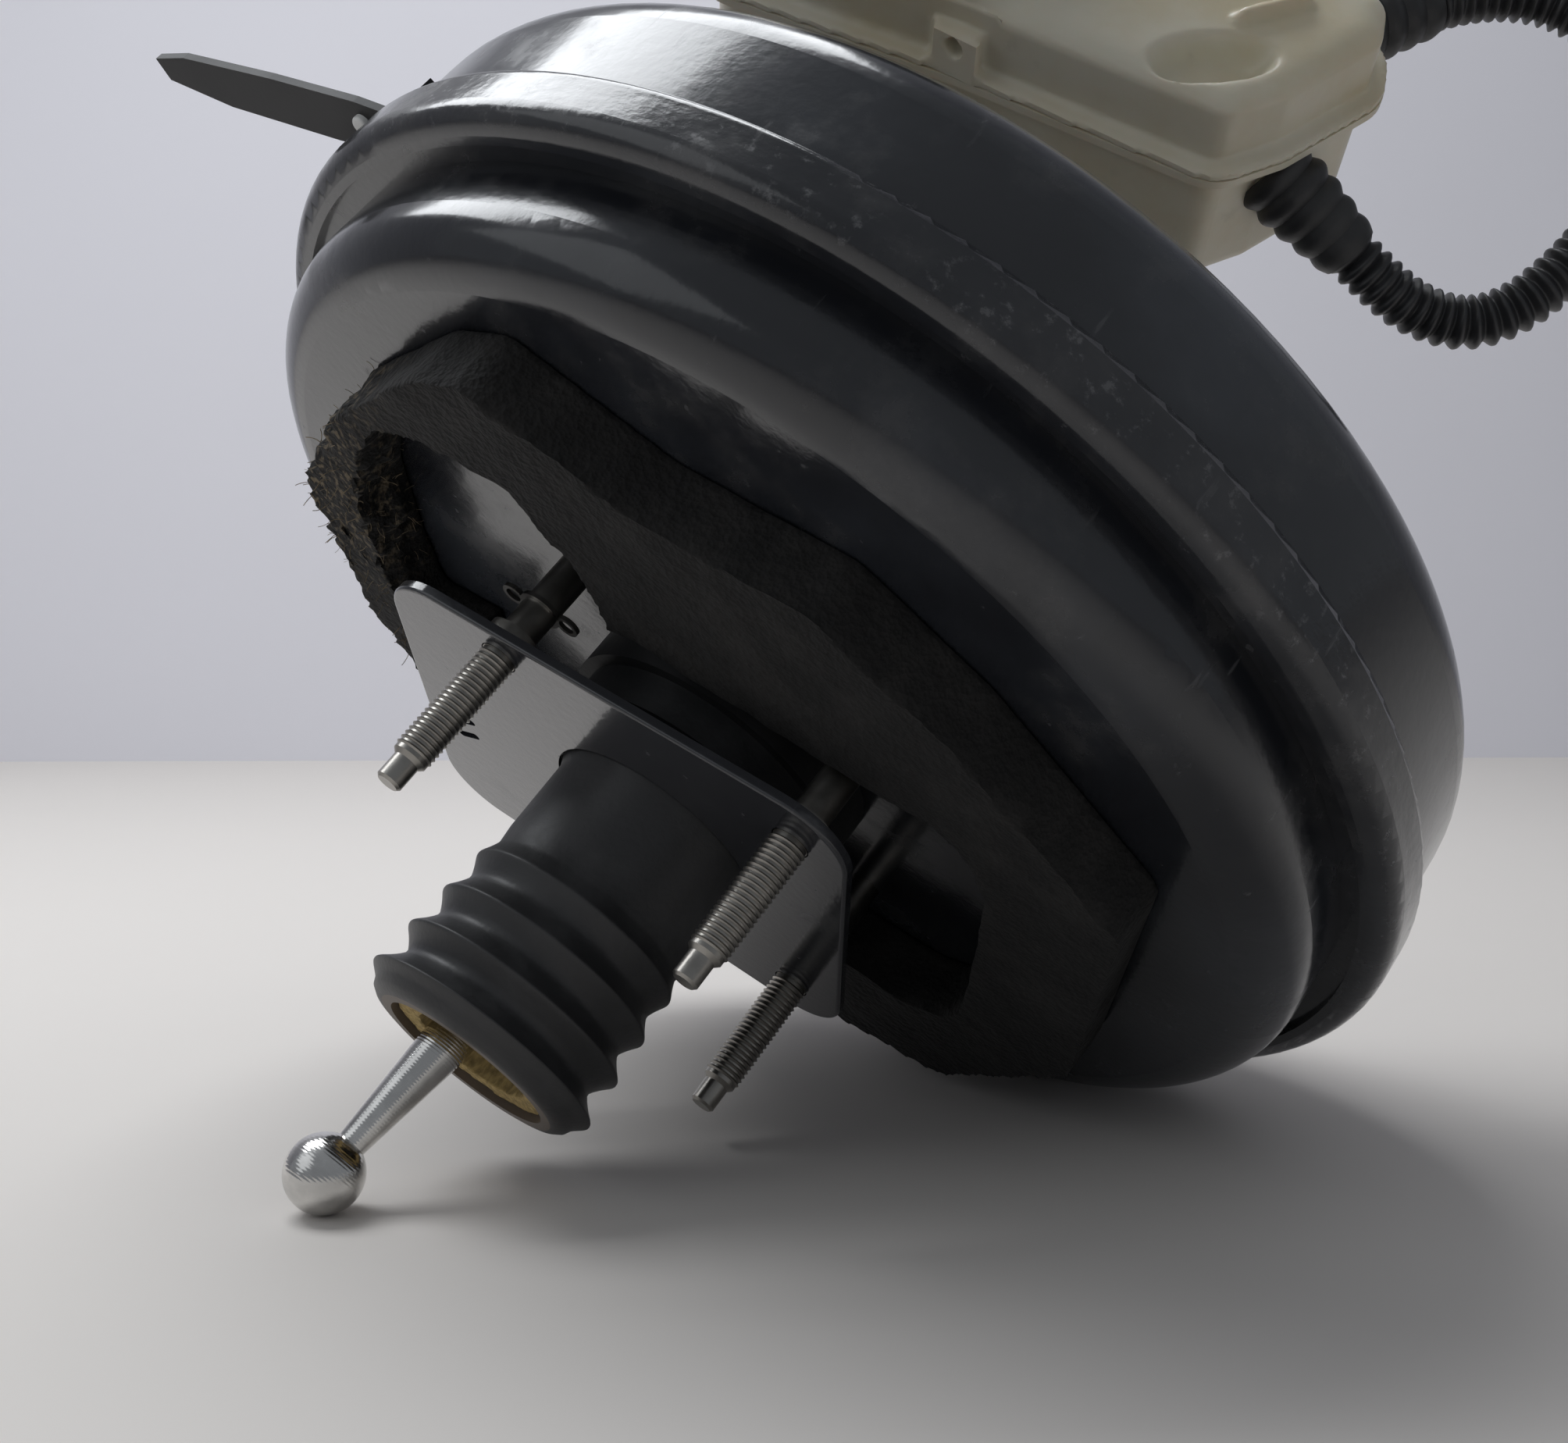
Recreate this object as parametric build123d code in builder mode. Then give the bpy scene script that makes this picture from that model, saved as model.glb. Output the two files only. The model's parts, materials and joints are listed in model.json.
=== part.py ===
"""Vacuum brake booster with its master cylinder, reservoir and level-sensor conduit.

Installed frame in millimetres: the booster axis lies along Y, the pedal side is -Y, the engine side
is +Y and +Z is up. The origin is on the axis, in the face of the mounting plate that meets the wall.
"""

import os
from math import cos, pi, radians, sin, tan

from build123d import *

# Clearances
fit = 0.05  # pieces seated on each other
run = 0.05  # sliding fits, on the radius
gap = 0.3  # pieces of different bodies that only come close

# Mounting plate and shells
sheet = 2.0
plate_t = 2.5
standoff = 28.5  # mounting plate to rear shell
rear_flat = plate_t + standoff
rear_depth = 31.0  # rear face to the middle of the rolled rim
rim_y = rear_flat + rear_depth
rim_r = 150.0
rim_step = 4.0  # rolled rim over the drum's wall
rim_groove = 12.0  # rim to the rear shell's wall
drum_r = rim_r - rim_step
rear_wall_r = rim_r - rim_groove
shoulder = 12.0
rim_rear = 9.0  # rolled rim behind its middle
rim_front = 6.0
lip_overlap = 5.0  # crimped lip, inward from the rim's inner wall
drum_depth = 42.0
drum_corner = 14.0
front_face = rim_y + drum_depth
pad_rise = 15.0
pad_y = front_face + pad_rise
pad_r = 62.0
cone_r = 80.0
lip_y = rim_y - rim_rear
lip_in = lip_y + sheet
seat_y = rim_y + rim_front - sheet
neck_r = 22.5
neck_reach = 20.0  # neck beyond the plate, towards the pedal

# Studs to the wall
stud_dx = 75.0
stud_dz = 80.0
stud_r = 4.0
shank_r = stud_r + 0.2  # plain part of a stud, from the plate back
stud_reach = 36.0
dog_r = 3.0
dog_len = 6.0
collar_r = 6.2
collar_t = 3.5
stud_head_r = 7.0
stud_head_t = 3.0
stud_spots = [(sx * stud_dx / 2, sz * stud_dz / 2) for sx in (-1, 1) for sz in (-1, 1)]

# Valve body, plunger and input rod
stem_r = 18.0
stem_bore_r = 15.5
mouth_len = 9.0
mouth_r = 22.5
mouth_wall = 2.5
tail = -66.0  # pedal end of the valve body
bore_floor = 14.0
plunger_r = 8.9
hub_back = rear_flat + sheet + 2.0
hub_r = 29.8
hub_flange_r = 40.0
hub_flange_t = 5.0
boss_r = 24.0
boss_len = 24.0
reaction_r = 14.0
rod_tilt = 4.2  # degrees, as the rod lies
socket_y = 20.0
socket_r = 6.6
rod_r = 5.4
rod_neck_r = 4.2
rod_tip_r = 3.2
rod_len = 121.0
ball_r = 8.5

# Power diaphragm
web_t = 2.0
dish_t = 1.8
dish_gap = 19.0  # dish to the rear shell's wall
dish_r = rear_wall_r - dish_gap
roll_gap = 5.0  # rolling fold round the dish
roll_r = dish_r + roll_gap

# Gaiter
boot_wall = 1.6
boot_trough_r = 24.6
boot_folds = 4
fold_first_r = 26.5
fold_last_r = 29.0
sleeve_len = 24.0

# Foam gasket
foam_t = 16.0

# Master cylinder
bore_r = 11.9
mc_r = 19.0
mc_len = 105.0
mc_flange_t = 12.0
mc_stud_x = 40.0
mc_ear_r = 13.0
spigot_r = 16.9
spigot_len = 13.0
mc_end = pad_y + mc_len
mc_end_wall = 6.0
piston_back = pad_y - 9.0
piston_len = 42.0
second_back = pad_y + 53.0
second_len = 22.0
push_tip = pad_y + 11.0
port_y = (pad_y + 52.0, pad_y + 86.0)
port_boss_r = 11.0
port_boss_top = 27.0
nipple_r = 6.0
grommet_r = 8.5
grommet_depth = 10.0
grommet_lip_h = 4.0
outlet_y = (pad_y + 31.0, pad_y + 68.0)
outlet_r = 5.0
outlet_depth = 12.0
outlet_boss_r = 9.0
outlet_reach = 27.0
pin_r = 3.0
pin_z = 29.0

# Reservoir
res_floor = 44.0
seam_z = 80.0
res_top = 112.0
res_wall = 2.4
seam_lip = 4.0
seam_t = 2.0
res_corner = 7.0
res_left = -94.0
res_right = 32.0
res_bulge = 49.0
res_near = 154.0
res_far = 224.0
filler = (-58.0, 194.0)
filler_r = 20.0
filler_len = 10.0
cap_r = 25.0
cap_h = 17.0
float_r = 15.0
float_pin_r = 3.0
float_t = 10.0
float_drop = 17.0  # float under the seam


def across(y):
    """A plane square to the booster axis at y, facing the pedal side."""
    return Plane.XZ.offset(-y)


def section(points, rounds=()):
    """A closed profile (radius, y), with the corners in rounds filleted."""
    with BuildSketch(Plane.XY, mode=Mode.PRIVATE) as profile:
        with BuildLine():
            Polyline(*points, close=True)
        make_face()
        for spot, size in rounds:
            fillet(profile.vertices().sort_by_distance((spot[0], spot[1], 0))[0], size)
    return profile.sketch


def bush(r_in, r_out, y0, y1):
    """The profile of a plain ring on the booster axis."""
    return section([(r_in, y0), (r_out, y0), (r_out, y1), (r_in, y1)])


def coil(mean_r, wire_r, y0, y1, pitch):
    """A helical spring on the booster axis, standing between y0 and y1."""
    path = Helix(pitch, y1 - y0 - 2 * wire_r, mean_r, center=(0, 0, 0), direction=(0, 0, 1))
    with BuildPart(mode=Mode.PRIVATE) as spring:
        with BuildSketch(Plane(origin=path @ 0, x_dir=(1, 0, 0), z_dir=path % 0)):
            Circle(wire_r)
        sweep(path=path, is_frenet=True)
    return Pos(0, y0 + wire_r, 0) * Rot(-90, 0, 0) * spring.part


os.makedirs("parts", exist_ok=True)


def save(builder, name):
    builder.part.label = name
    export_step(builder.part, f"parts/{name}.step")


# Shells: rear dish with its neck, and the drum whose rim is rolled over it
neck_in = neck_r - sheet
rim_in = rim_r - sheet
lip_r = rim_in - lip_overlap
rear_outline = [
    (neck_in, -neck_reach),
    (neck_r, -neck_reach),
    (neck_r, rear_flat),
    (rear_wall_r, rear_flat),
    (rear_wall_r, lip_in),
    (rim_in - gap, lip_in),
    (rim_in - gap, lip_in + sheet),
    (rear_wall_r - sheet, lip_in + sheet),
    (rear_wall_r - sheet, rear_flat + sheet),
    (neck_in, rear_flat + sheet),
]
with BuildPart() as rear_shell:
    rear_rounds = [(rear_outline[3], shoulder), (rear_outline[8], shoulder - sheet)]
    revolve(section(rear_outline, rear_rounds), axis=Axis.Y)
    with BuildSketch(across(rear_flat + sheet)):
        with Locations(*stud_spots):
            Circle(shank_r + fit)
    extrude(amount=sheet, mode=Mode.SUBTRACT)
save(rear_shell, "rear_shell")

valve_spot = (-(cone_r + drum_r - drum_corner) / 2 + 6.0, 24.0)
valve_hole_r = 10.0
front_outline = [
    (lip_r, lip_y),
    (rim_r, lip_y),
    (rim_r, seat_y + sheet),
    (drum_r, seat_y + sheet),
    (drum_r, front_face),
    (cone_r, front_face),
    (pad_r, pad_y),
    (spigot_r + fit, pad_y),
    (spigot_r + fit, pad_y - sheet),
    (pad_r, pad_y - sheet),
    (cone_r, front_face - sheet),
    (drum_r - sheet, front_face - sheet),
    (drum_r - sheet, seat_y),
    (rim_in, seat_y),
    (rim_in, lip_in),
    (lip_r, lip_in),
]
with BuildPart() as front_shell:
    front_rounds = [
        (front_outline[1], (rim_rear + rim_front) / 3),
        (front_outline[2], 0.6 * rim_step),
        (front_outline[3], 0.35 * rim_step),
        (front_outline[4], drum_corner),
        (front_outline[11], drum_corner - sheet),
    ]
    revolve(section(front_outline, front_rounds), axis=Axis.Y)
    with BuildSketch(across(pad_y)):
        with Locations((-mc_stud_x, 0), (mc_stud_x, 0)):
            Circle(stud_r + fit)
        with Locations(valve_spot):
            Circle(valve_hole_r)
    extrude(amount=pad_rise + sheet, mode=Mode.SUBTRACT)
save(front_shell, "front_shell")

# Mounting plate on its studs
plate_left = -68.0
plate_right = 51.0
plate_low = -54.0
plate_high_left = 47.0
plate_high_right = 56.0
plate_corner = 15.0
plate_hole_r = boot_trough_r + 2.0
slot_len = 8.0
slot_w = 2.2
with BuildPart() as mounting_plate:
    with BuildSketch(across(plate_t)) as plate_face:
        with BuildLine():
            Polyline(
                (plate_left, plate_low),
                (plate_right, plate_low),
                (plate_right, plate_high_right),
                (plate_left, plate_high_left),
                close=True,
            )
        make_face()
        fillet(plate_face.vertices(), plate_corner)
        Circle(plate_hole_r, mode=Mode.SUBTRACT)
        with Locations(*stud_spots):
            Circle(shank_r + gap, mode=Mode.SUBTRACT)
        with Locations((plate_left + 12, -8), (plate_left + 12, -15)):
            SlotOverall(slot_len, slot_w, rotation=35, mode=Mode.SUBTRACT)
    extrude(amount=plate_t)
    fillet(mounting_plate.faces().sort_by(Axis.Y)[0].outer_wire().edges(), 0.8)
save(mounting_plate, "mounting_plate")

stud_outline = [
    (0, -stud_reach),
    (dog_r - 0.6, -stud_reach),
    (dog_r, -stud_reach + 0.6),
    (dog_r, -stud_reach + dog_len),
    (stud_r, -stud_reach + dog_len + 1.0),
    (stud_r, 0),
    (shank_r, 0),
    (shank_r, plate_t),
    (collar_r, plate_t),
    (collar_r, plate_t + collar_t),
    (shank_r, plate_t + collar_t),
    (shank_r, rear_flat + sheet),
    (stud_head_r, rear_flat + sheet),
    (stud_head_r, rear_flat + sheet + stud_head_t),
    (0, rear_flat + sheet + stud_head_t),
]
with BuildPart() as mounting_studs:
    one_stud = revolve(section(stud_outline), axis=Axis.Y, mode=Mode.PRIVATE)
    for x, z in stud_spots:
        add(Pos(x, 0, z) * one_stud)
save(mounting_studs, "mounting_studs")

# Push-on wire clip that keeps the gasket on the upper left stud
clip_y = plate_t + 12.0
clip_wire_r = 0.5
clip_loop_r = 2.4
clip_ring_r = shank_r + fit + clip_wire_r
loop_x = clip_ring_r + clip_loop_r
with BuildPart() as gasket_clip:
    with BuildSketch(across(clip_y + clip_wire_r)):
        with Locations((-stud_dx / 2, stud_dz / 2)):
            Circle(clip_ring_r + clip_wire_r)
            with Locations((-loop_x, 0), (loop_x, 0)):
                Circle(clip_loop_r + clip_wire_r)
            with Locations((-loop_x, 0), (loop_x, 0)):
                Circle(clip_loop_r - clip_wire_r, mode=Mode.SUBTRACT)
            Circle(clip_ring_r - clip_wire_r, mode=Mode.SUBTRACT)
    extrude(amount=2 * clip_wire_r)
save(gasket_clip, "gasket_clip")

# Foam gasket: a loose irregular ring on the rear shell
foam_outline = [
    (-48, 108), (-9, 98), (32, 100), (62, 84), (104, 48), (104, -34), (74, -86),
    (0, -104), (-72, -82), (-104, -16), (-111, 28), (-92, 66), (-62, 100),
]
hole_half_x = 72.0
hole_half_z = 49.0
pocket_top = 66.0
with BuildPart() as foam_gasket:
    with BuildSketch(across(rear_flat)) as foam_face:
        with BuildLine():
            Polyline(*foam_outline, close=True)
        make_face()
        fillet(foam_face.vertices(), 8.0)
        with Locations((2, -2)):
            RectangleRounded(2 * hole_half_x, 2 * hole_half_z, 18, mode=Mode.SUBTRACT)
        with Locations((-stud_dx / 2 - 16, pocket_top / 2)):
            RectangleRounded(36, pocket_top, 12, mode=Mode.SUBTRACT)
    extrude(amount=foam_t)
save(foam_gasket, "foam_gasket")

# Stepped rubber seat round the neck, between the rear shell and the plate
seat_r = neck_r + 13.5
seat_step = 3.2
seat_steps = [
    (seat_r, rear_flat),
    (seat_r - seat_step, rear_flat - 0.4 * standoff),
    (seat_r - 2 * seat_step, rear_flat - 0.7 * standoff),
]
seat_outline = [(neck_r + fit, rear_flat), (seat_steps[0][0], rear_flat)]
for step, (radius, start) in enumerate(seat_steps):
    stop = seat_steps[step + 1][1] if step + 1 < len(seat_steps) else plate_t
    seat_outline += [(radius, start), (radius, stop)]
seat_outline = seat_outline[:1] + seat_outline[2:] + [(neck_r + fit, plate_t)]
with BuildPart() as boot_seat:
    revolve(section(seat_outline), axis=Axis.Y)
save(boot_seat, "boot_seat")

# Gaiter: sleeve on the neck, then folds that grow towards the pedal
fold_pitch = (-tail - sleeve_len) / boot_folds
sleeve_r = neck_r + fit + boot_wall + 1.0
boot_outer = [(sleeve_r, plate_t - 0.5), (sleeve_r, -sleeve_len)]
for fold in range(boot_folds):
    crest_r = fold_first_r + (fold_last_r - fold_first_r) * fold / (boot_folds - 1)
    start = -sleeve_len - fold * fold_pitch
    boot_outer += [(boot_trough_r, start - 0.12 * fold_pitch), (crest_r, start - 0.42 * fold_pitch)]
    boot_outer += [(crest_r, start - 0.68 * fold_pitch)]
boot_outer += [(boot_trough_r, tail)]
boot_inner = [(r - boot_wall, y) for r, y in reversed(boot_outer[2:])]
boot_inner += [(neck_r + fit, -sleeve_len), (neck_r + fit, plate_t - 0.5)]
with BuildPart() as bellows_boot:
    soft = [(point, 0.9) for point in boot_outer[2:-1]]
    revolve(section(boot_outer + boot_inner, soft), axis=Axis.Y)
save(bellows_boot, "bellows_boot")

# Guide bush and lip seal of the valve body, in the neck
bush_len = 13.0
seal_len = 8.0
with BuildPart() as guide_bush:
    revolve(bush(stem_r + run, neck_in - fit, -neck_reach + 1, -neck_reach + 1 + bush_len), axis=Axis.Y)
save(guide_bush, "guide_bush")

with BuildPart() as stem_seal:
    seal_y = -neck_reach + 1 + bush_len
    seal_outline = [
        (stem_r + run, seal_y),
        (neck_in - fit, seal_y),
        (neck_in - fit, seal_y + seal_len),
        (neck_in - 0.9, seal_y + seal_len),
        (neck_in - 0.9, seal_y + 2),
        (stem_r + 0.8, seal_y + 2),
        (stem_r + run, seal_y + seal_len - 2),
    ]
    revolve(section(seal_outline), axis=Axis.Y)
save(stem_seal, "stem_seal")

# Valve body: stem, hub with the diaphragm's seat, and the boss for the output rod
web_y = hub_back + 1.5
dish_y = web_y + web_t
flange_y = dish_y + dish_t
boss_y = flange_y + hub_flange_t
boss_end = boss_y + boss_len
disc_y = boss_end - 12.0
mouth_y = tail + mouth_len
valve_outline = [
    (mouth_r - mouth_wall, tail),
    (mouth_r, tail),
    (mouth_r, mouth_y),
    (stem_r, mouth_y),
    (stem_r, hub_back),
    (hub_r, hub_back),
    (hub_r, flange_y),
    (hub_flange_r, flange_y),
    (hub_flange_r, boss_y),
    (boss_r, boss_y),
    (boss_r, boss_end),
    (reaction_r, boss_end),
    (reaction_r, disc_y),
    (plunger_r + run, disc_y),
    (plunger_r + run, bore_floor),
    (stem_bore_r, bore_floor),
    (stem_bore_r, mouth_y - 1.5),
    (mouth_r - mouth_wall, mouth_y - 1.5),
]
with BuildPart() as valve_body:
    revolve(section(valve_outline, [(valve_outline[2], 1.0)]), axis=Axis.Y)
save(valve_body, "valve_body")

filter_t = 6.0
filter_hole_r = 13.6
with BuildPart() as air_filter:
    filter_y = mouth_y - 1.5 - filter_t
    revolve(bush(filter_hole_r, mouth_r - mouth_wall - fit, filter_y, mouth_y - 1.5), axis=Axis.Y)
save(air_filter, "air_filter")

# Plunger with the rod's socket; its back flange closes on the poppet
poppet_t = 5.0
retainer_t = 4.0
poppet_y = 3.0
poppet_hole_r = 8.3
plunger_flange_r = 10.8
plunger_back = poppet_y + poppet_t + gap
plunger_flange_t = 3.5
plunger_end = disc_y - 2.0
with BuildPart() as poppet_valve:
    revolve(bush(poppet_hole_r, stem_bore_r - fit, poppet_y, poppet_y + poppet_t), axis=Axis.Y)
save(poppet_valve, "poppet_valve")

with BuildPart() as poppet_retainer:
    retainer_outline = [
        (stem_bore_r - 4.0, poppet_y - retainer_t),
        (stem_bore_r - fit, poppet_y - retainer_t),
        (stem_bore_r - fit, poppet_y),
        (stem_bore_r - 1.5, poppet_y),
        (stem_bore_r - 1.5, poppet_y - 2.5),
        (stem_bore_r - 4.0, poppet_y - 2.5),
    ]
    revolve(section(retainer_outline), axis=Axis.Y)
save(poppet_retainer, "poppet_retainer")

with BuildPart() as plunger:
    plunger_outline = [
        (0, plunger_back),
        (plunger_flange_r, plunger_back),
        (plunger_flange_r, plunger_back + plunger_flange_t),
        (plunger_r, plunger_back + plunger_flange_t),
        (plunger_r, plunger_end),
        (0, plunger_end),
    ]
    revolve(section(plunger_outline), axis=Axis.Y)
    with Locations((0, socket_y, 0)):
        Sphere(socket_r, mode=Mode.SUBTRACT)
    with BuildSketch(across(socket_y)):
        Circle(socket_r)
    extrude(amount=socket_y - plunger_back, mode=Mode.SUBTRACT)
save(plunger, "plunger")

# Input rod, tilted about its socket as it lies
tilt = radians(rod_tilt)
rod_dir = (-sin(tilt), -cos(tilt), 0)
rod_plane = Plane(origin=(0, socket_y, 0), x_dir=(cos(tilt), -sin(tilt), 0), z_dir=(0, 0, 1))
inner_ball_r = socket_r - 0.1
rod_outline = [
    (0, 0),
    (rod_neck_r, 0),
    (rod_neck_r, -16),
    (rod_r, -19),
    (rod_r, -rod_len * 0.72),
    (rod_tip_r, -rod_len + ball_r * 0.8),
    (rod_tip_r, -rod_len),
    (0, -rod_len),
]
with BuildPart() as input_pushrod:
    with BuildSketch(rod_plane) as rod_face:
        with BuildLine():
            Polyline(*rod_outline, close=True)
        make_face()
    revolve(axis=Axis((0, socket_y, 0), rod_dir))
    with Locations((0, socket_y, 0)):
        Sphere(inner_ball_r)
    with Locations(Vector(0, socket_y, 0) + Vector(*rod_dir) * rod_len):
        Sphere(ball_r)
save(input_pushrod, "input_pushrod")

rod_wire_r = 0.75
rod_spring_r = stem_bore_r - 2.2
rod_spring_pitch = 6.0
spring_seat = 20.0  # coil's free end, in from the mouth
with BuildPart() as rod_spring:
    add(coil(rod_spring_r, rod_wire_r, mouth_y + spring_seat, poppet_y - retainer_t, rod_spring_pitch))
save(rod_spring, "rod_spring")

# Reaction disc and output rod, up to the master cylinder's first piston
disc_t = 5.0
head_t = 6.0
push_r = 5.0
with BuildPart() as reaction_disc:
    with BuildSketch(across(disc_y + disc_t)):
        Circle(reaction_r - fit)
    extrude(amount=disc_t)
save(reaction_disc, "reaction_disc")

push_outline = [
    (0, disc_y + disc_t),
    (reaction_r - fit, disc_y + disc_t),
    (reaction_r - fit, disc_y + disc_t + head_t),
    (push_r, disc_y + disc_t + head_t),
    (push_r, push_tip),
    (0, push_tip),
]
with BuildPart() as output_pushrod:
    revolve(section(push_outline, [(push_outline[4], 3.5), (push_outline[3], 2.0)]), axis=Axis.Y)
save(output_pushrod, "output_pushrod")

# Diaphragm clamped in the rim, and the dish that carries it
web_mid = rim_y - 1.0
diaphragm_outline = [
    (hub_r + fit, web_y),
    (roll_r, web_y),
    (roll_r, web_mid - web_t / 2),
    (drum_r - sheet, web_mid - web_t / 2),
    (drum_r - sheet, lip_in + sheet),
    (rim_in - fit, lip_in + sheet),
    (rim_in - fit, seat_y),
    (drum_r - sheet + gap, seat_y),
    (drum_r - sheet + gap, web_mid + web_t / 2),
    (roll_r - web_t, web_mid + web_t / 2),
    (roll_r - web_t, dish_y),
    (hub_r + fit, dish_y),
]
with BuildPart() as diaphragm:
    rolls = [(diaphragm_outline[1], 3.5), (diaphragm_outline[9], 3.0)]
    revolve(section(diaphragm_outline, rolls), axis=Axis.Y)
save(diaphragm, "diaphragm")

dish_rim = 12.0
dish_outline = [
    (hub_r + fit, dish_y),
    (dish_r, dish_y),
    (dish_r, dish_y + dish_rim),
    (dish_r - dish_t, dish_y + dish_rim),
    (dish_r - dish_t, flange_y),
    (hub_r + fit, flange_y),
]
with BuildPart() as diaphragm_plate:
    revolve(section(dish_outline, [(dish_outline[1], 3.0), (dish_outline[4], 1.5)]), axis=Axis.Y)
save(diaphragm_plate, "diaphragm_plate")

return_wire_r = 2.0
with BuildPart() as return_spring:
    add(coil(boss_r + 2 * return_wire_r + 3, return_wire_r, boss_y, pad_y - sheet, 13.0))
save(return_spring, "return_spring")

# Front studs, master cylinder and its nuts
front_stud_len = 24.0
front_stud_outline = [
    (0, pad_y - sheet - stud_head_t),
    (stud_head_r, pad_y - sheet - stud_head_t),
    (stud_head_r, pad_y - sheet),
    (stud_r, pad_y - sheet),
    (stud_r, pad_y + front_stud_len - 1),
    (stud_r - 1, pad_y + front_stud_len),
    (0, pad_y + front_stud_len),
]
with BuildPart() as front_studs:
    one_front_stud = revolve(section(front_stud_outline), axis=Axis.Y, mode=Mode.PRIVATE)
    for x in (-mc_stud_x, mc_stud_x):
        add(Pos(x, 0, 0) * one_front_stud)
save(front_studs, "front_studs")

nut_t = 6.5
nut_across = 13.0
nut_flange_r = 8.8
with BuildPart() as master_cylinder_nuts:
    with BuildSketch(across(pad_y + mc_flange_t + nut_t)):
        with Locations((-mc_stud_x, 0), (mc_stud_x, 0)):
            RegularPolygon(nut_across / 2, 6, major_radius=False)
            Circle(stud_r + fit, mode=Mode.SUBTRACT)
    extrude(amount=nut_t)
    with BuildSketch(across(pad_y + mc_flange_t + 1.6)):
        with Locations((-mc_stud_x, 0), (mc_stud_x, 0)):
            Circle(nut_flange_r)
            Circle(stud_r + fit, mode=Mode.SUBTRACT)
    extrude(amount=1.6)
save(master_cylinder_nuts, "master_cylinder_nuts")

recess_r = 6.0
groove_t = 1.6
ring_y = pad_y - spigot_len + 1.5
lug_t = 8.0
lug_len = 12.0
with BuildPart() as master_cylinder:
    with BuildSketch(across(mc_end)):
        Circle(mc_r)
    extrude(amount=mc_len)
    fillet(master_cylinder.edges().sort_by(Axis.Y)[-1], 5.0)
    with BuildSketch(across(pad_y + mc_flange_t)):
        SlotCenterToCenter(2 * mc_stud_x, 2 * mc_ear_r)
        Circle(mc_r + 5.0)
    extrude(amount=mc_flange_t)
    with BuildSketch(across(pad_y)):
        Circle(spigot_r)
    extrude(amount=spigot_len)
    with Locations(*[(0, y, 0) for y in port_y]):
        Cylinder(port_boss_r, port_boss_top, align=(Align.CENTER, Align.CENTER, Align.MIN))
    with Locations(*[(0, y, 0) for y in outlet_y]):
        Cylinder(
            outlet_boss_r,
            outlet_reach,
            rotation=(0, -90, 0),
            align=(Align.CENTER, Align.CENTER, Align.MIN),
        )
    with Locations((0, (port_y[0] + port_y[1]) / 2, 0)):
        Box(lug_t, lug_len, pin_z + 6.0, align=(Align.CENTER, Align.CENTER, Align.MIN))
    with BuildSketch(across(mc_end - mc_end_wall)):
        Circle(bore_r)
    extrude(amount=mc_len - mc_end_wall + spigot_len, mode=Mode.SUBTRACT)
    with BuildSketch(across(ring_y + groove_t)):
        Circle(bore_r + 1.6)
    extrude(amount=groove_t, mode=Mode.SUBTRACT)
    with BuildSketch(across(pad_y + mc_flange_t)):
        with Locations((-mc_stud_x, 0), (mc_stud_x, 0)):
            Circle(stud_r + gap)
    extrude(amount=mc_flange_t, mode=Mode.SUBTRACT)
    with Locations(*[(0, y, port_boss_top) for y in port_y]):
        hanging = (Align.CENTER, Align.CENTER, Align.MAX)
        Cylinder(grommet_r + fit, grommet_depth, align=hanging, mode=Mode.SUBTRACT)
        Cylinder(3.0, port_boss_top, align=hanging, mode=Mode.SUBTRACT)
    with Locations(*[(-outlet_reach, y, 0) for y in outlet_y]):
        Cylinder(
            outlet_r,
            outlet_depth,
            rotation=(0, 90, 0),
            align=(Align.CENTER, Align.CENTER, Align.MIN),
            mode=Mode.SUBTRACT,
        )
    with Locations((0, (port_y[0] + port_y[1]) / 2, pin_z)):
        Cylinder(pin_r + fit, 2 * mc_r, rotation=(0, 90, 0), mode=Mode.SUBTRACT)
save(master_cylinder, "master_cylinder")

with BuildPart() as bore_circlip:
    revolve(bush(bore_r - 2.5, bore_r + 1.6 - fit, ring_y + fit, ring_y + groove_t - fit), axis=Axis.Y)
save(bore_circlip, "bore_circlip")

ring_section_r = 1.5
with BuildPart() as spigot_seal:
    with Locations(Location((0, pad_y - sheet - ring_section_r, 0), (90, 0, 0))):
        Torus(spigot_r + fit + ring_section_r, ring_section_r)
save(spigot_seal, "spigot_seal")

cup_t = 4.0
cup_r = 8.6
cup_back = 8.0  # cup's place behind the piston's nose


def piston_profile(back, length, recess):
    """A bore piston with one cup groove, and a recess for the output rod when recess is not 0."""
    nose = back + length
    outline = [
        (bore_r - run, back),
        (bore_r - run, nose - cup_back - cup_t),
        (cup_r - fit, nose - cup_back - cup_t),
        (cup_r - fit, nose - cup_back),
        (bore_r - run, nose - cup_back),
        (bore_r - run, nose),
        (0, nose),
        (0, back + recess),
    ]
    if recess:
        outline += [(recess_r, back + recess), (recess_r, back)]
    return section(outline)


with BuildPart() as primary_piston:
    revolve(piston_profile(piston_back, piston_len, push_tip + gap - piston_back), axis=Axis.Y)
save(primary_piston, "primary_piston")

with BuildPart() as secondary_piston:
    revolve(piston_profile(second_back, second_len, 0), axis=Axis.Y)
save(secondary_piston, "secondary_piston")

for cup_name, piston_nose in (
    ("primary_cup", piston_back + piston_len),
    ("secondary_cup", second_back + second_len),
):
    with BuildPart() as cup:
        cup_y = piston_nose - cup_back - cup_t
        revolve(bush(cup_r, bore_r - run, cup_y + fit, cup_y + cup_t - fit), axis=Axis.Y)
    save(cup, cup_name)

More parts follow.
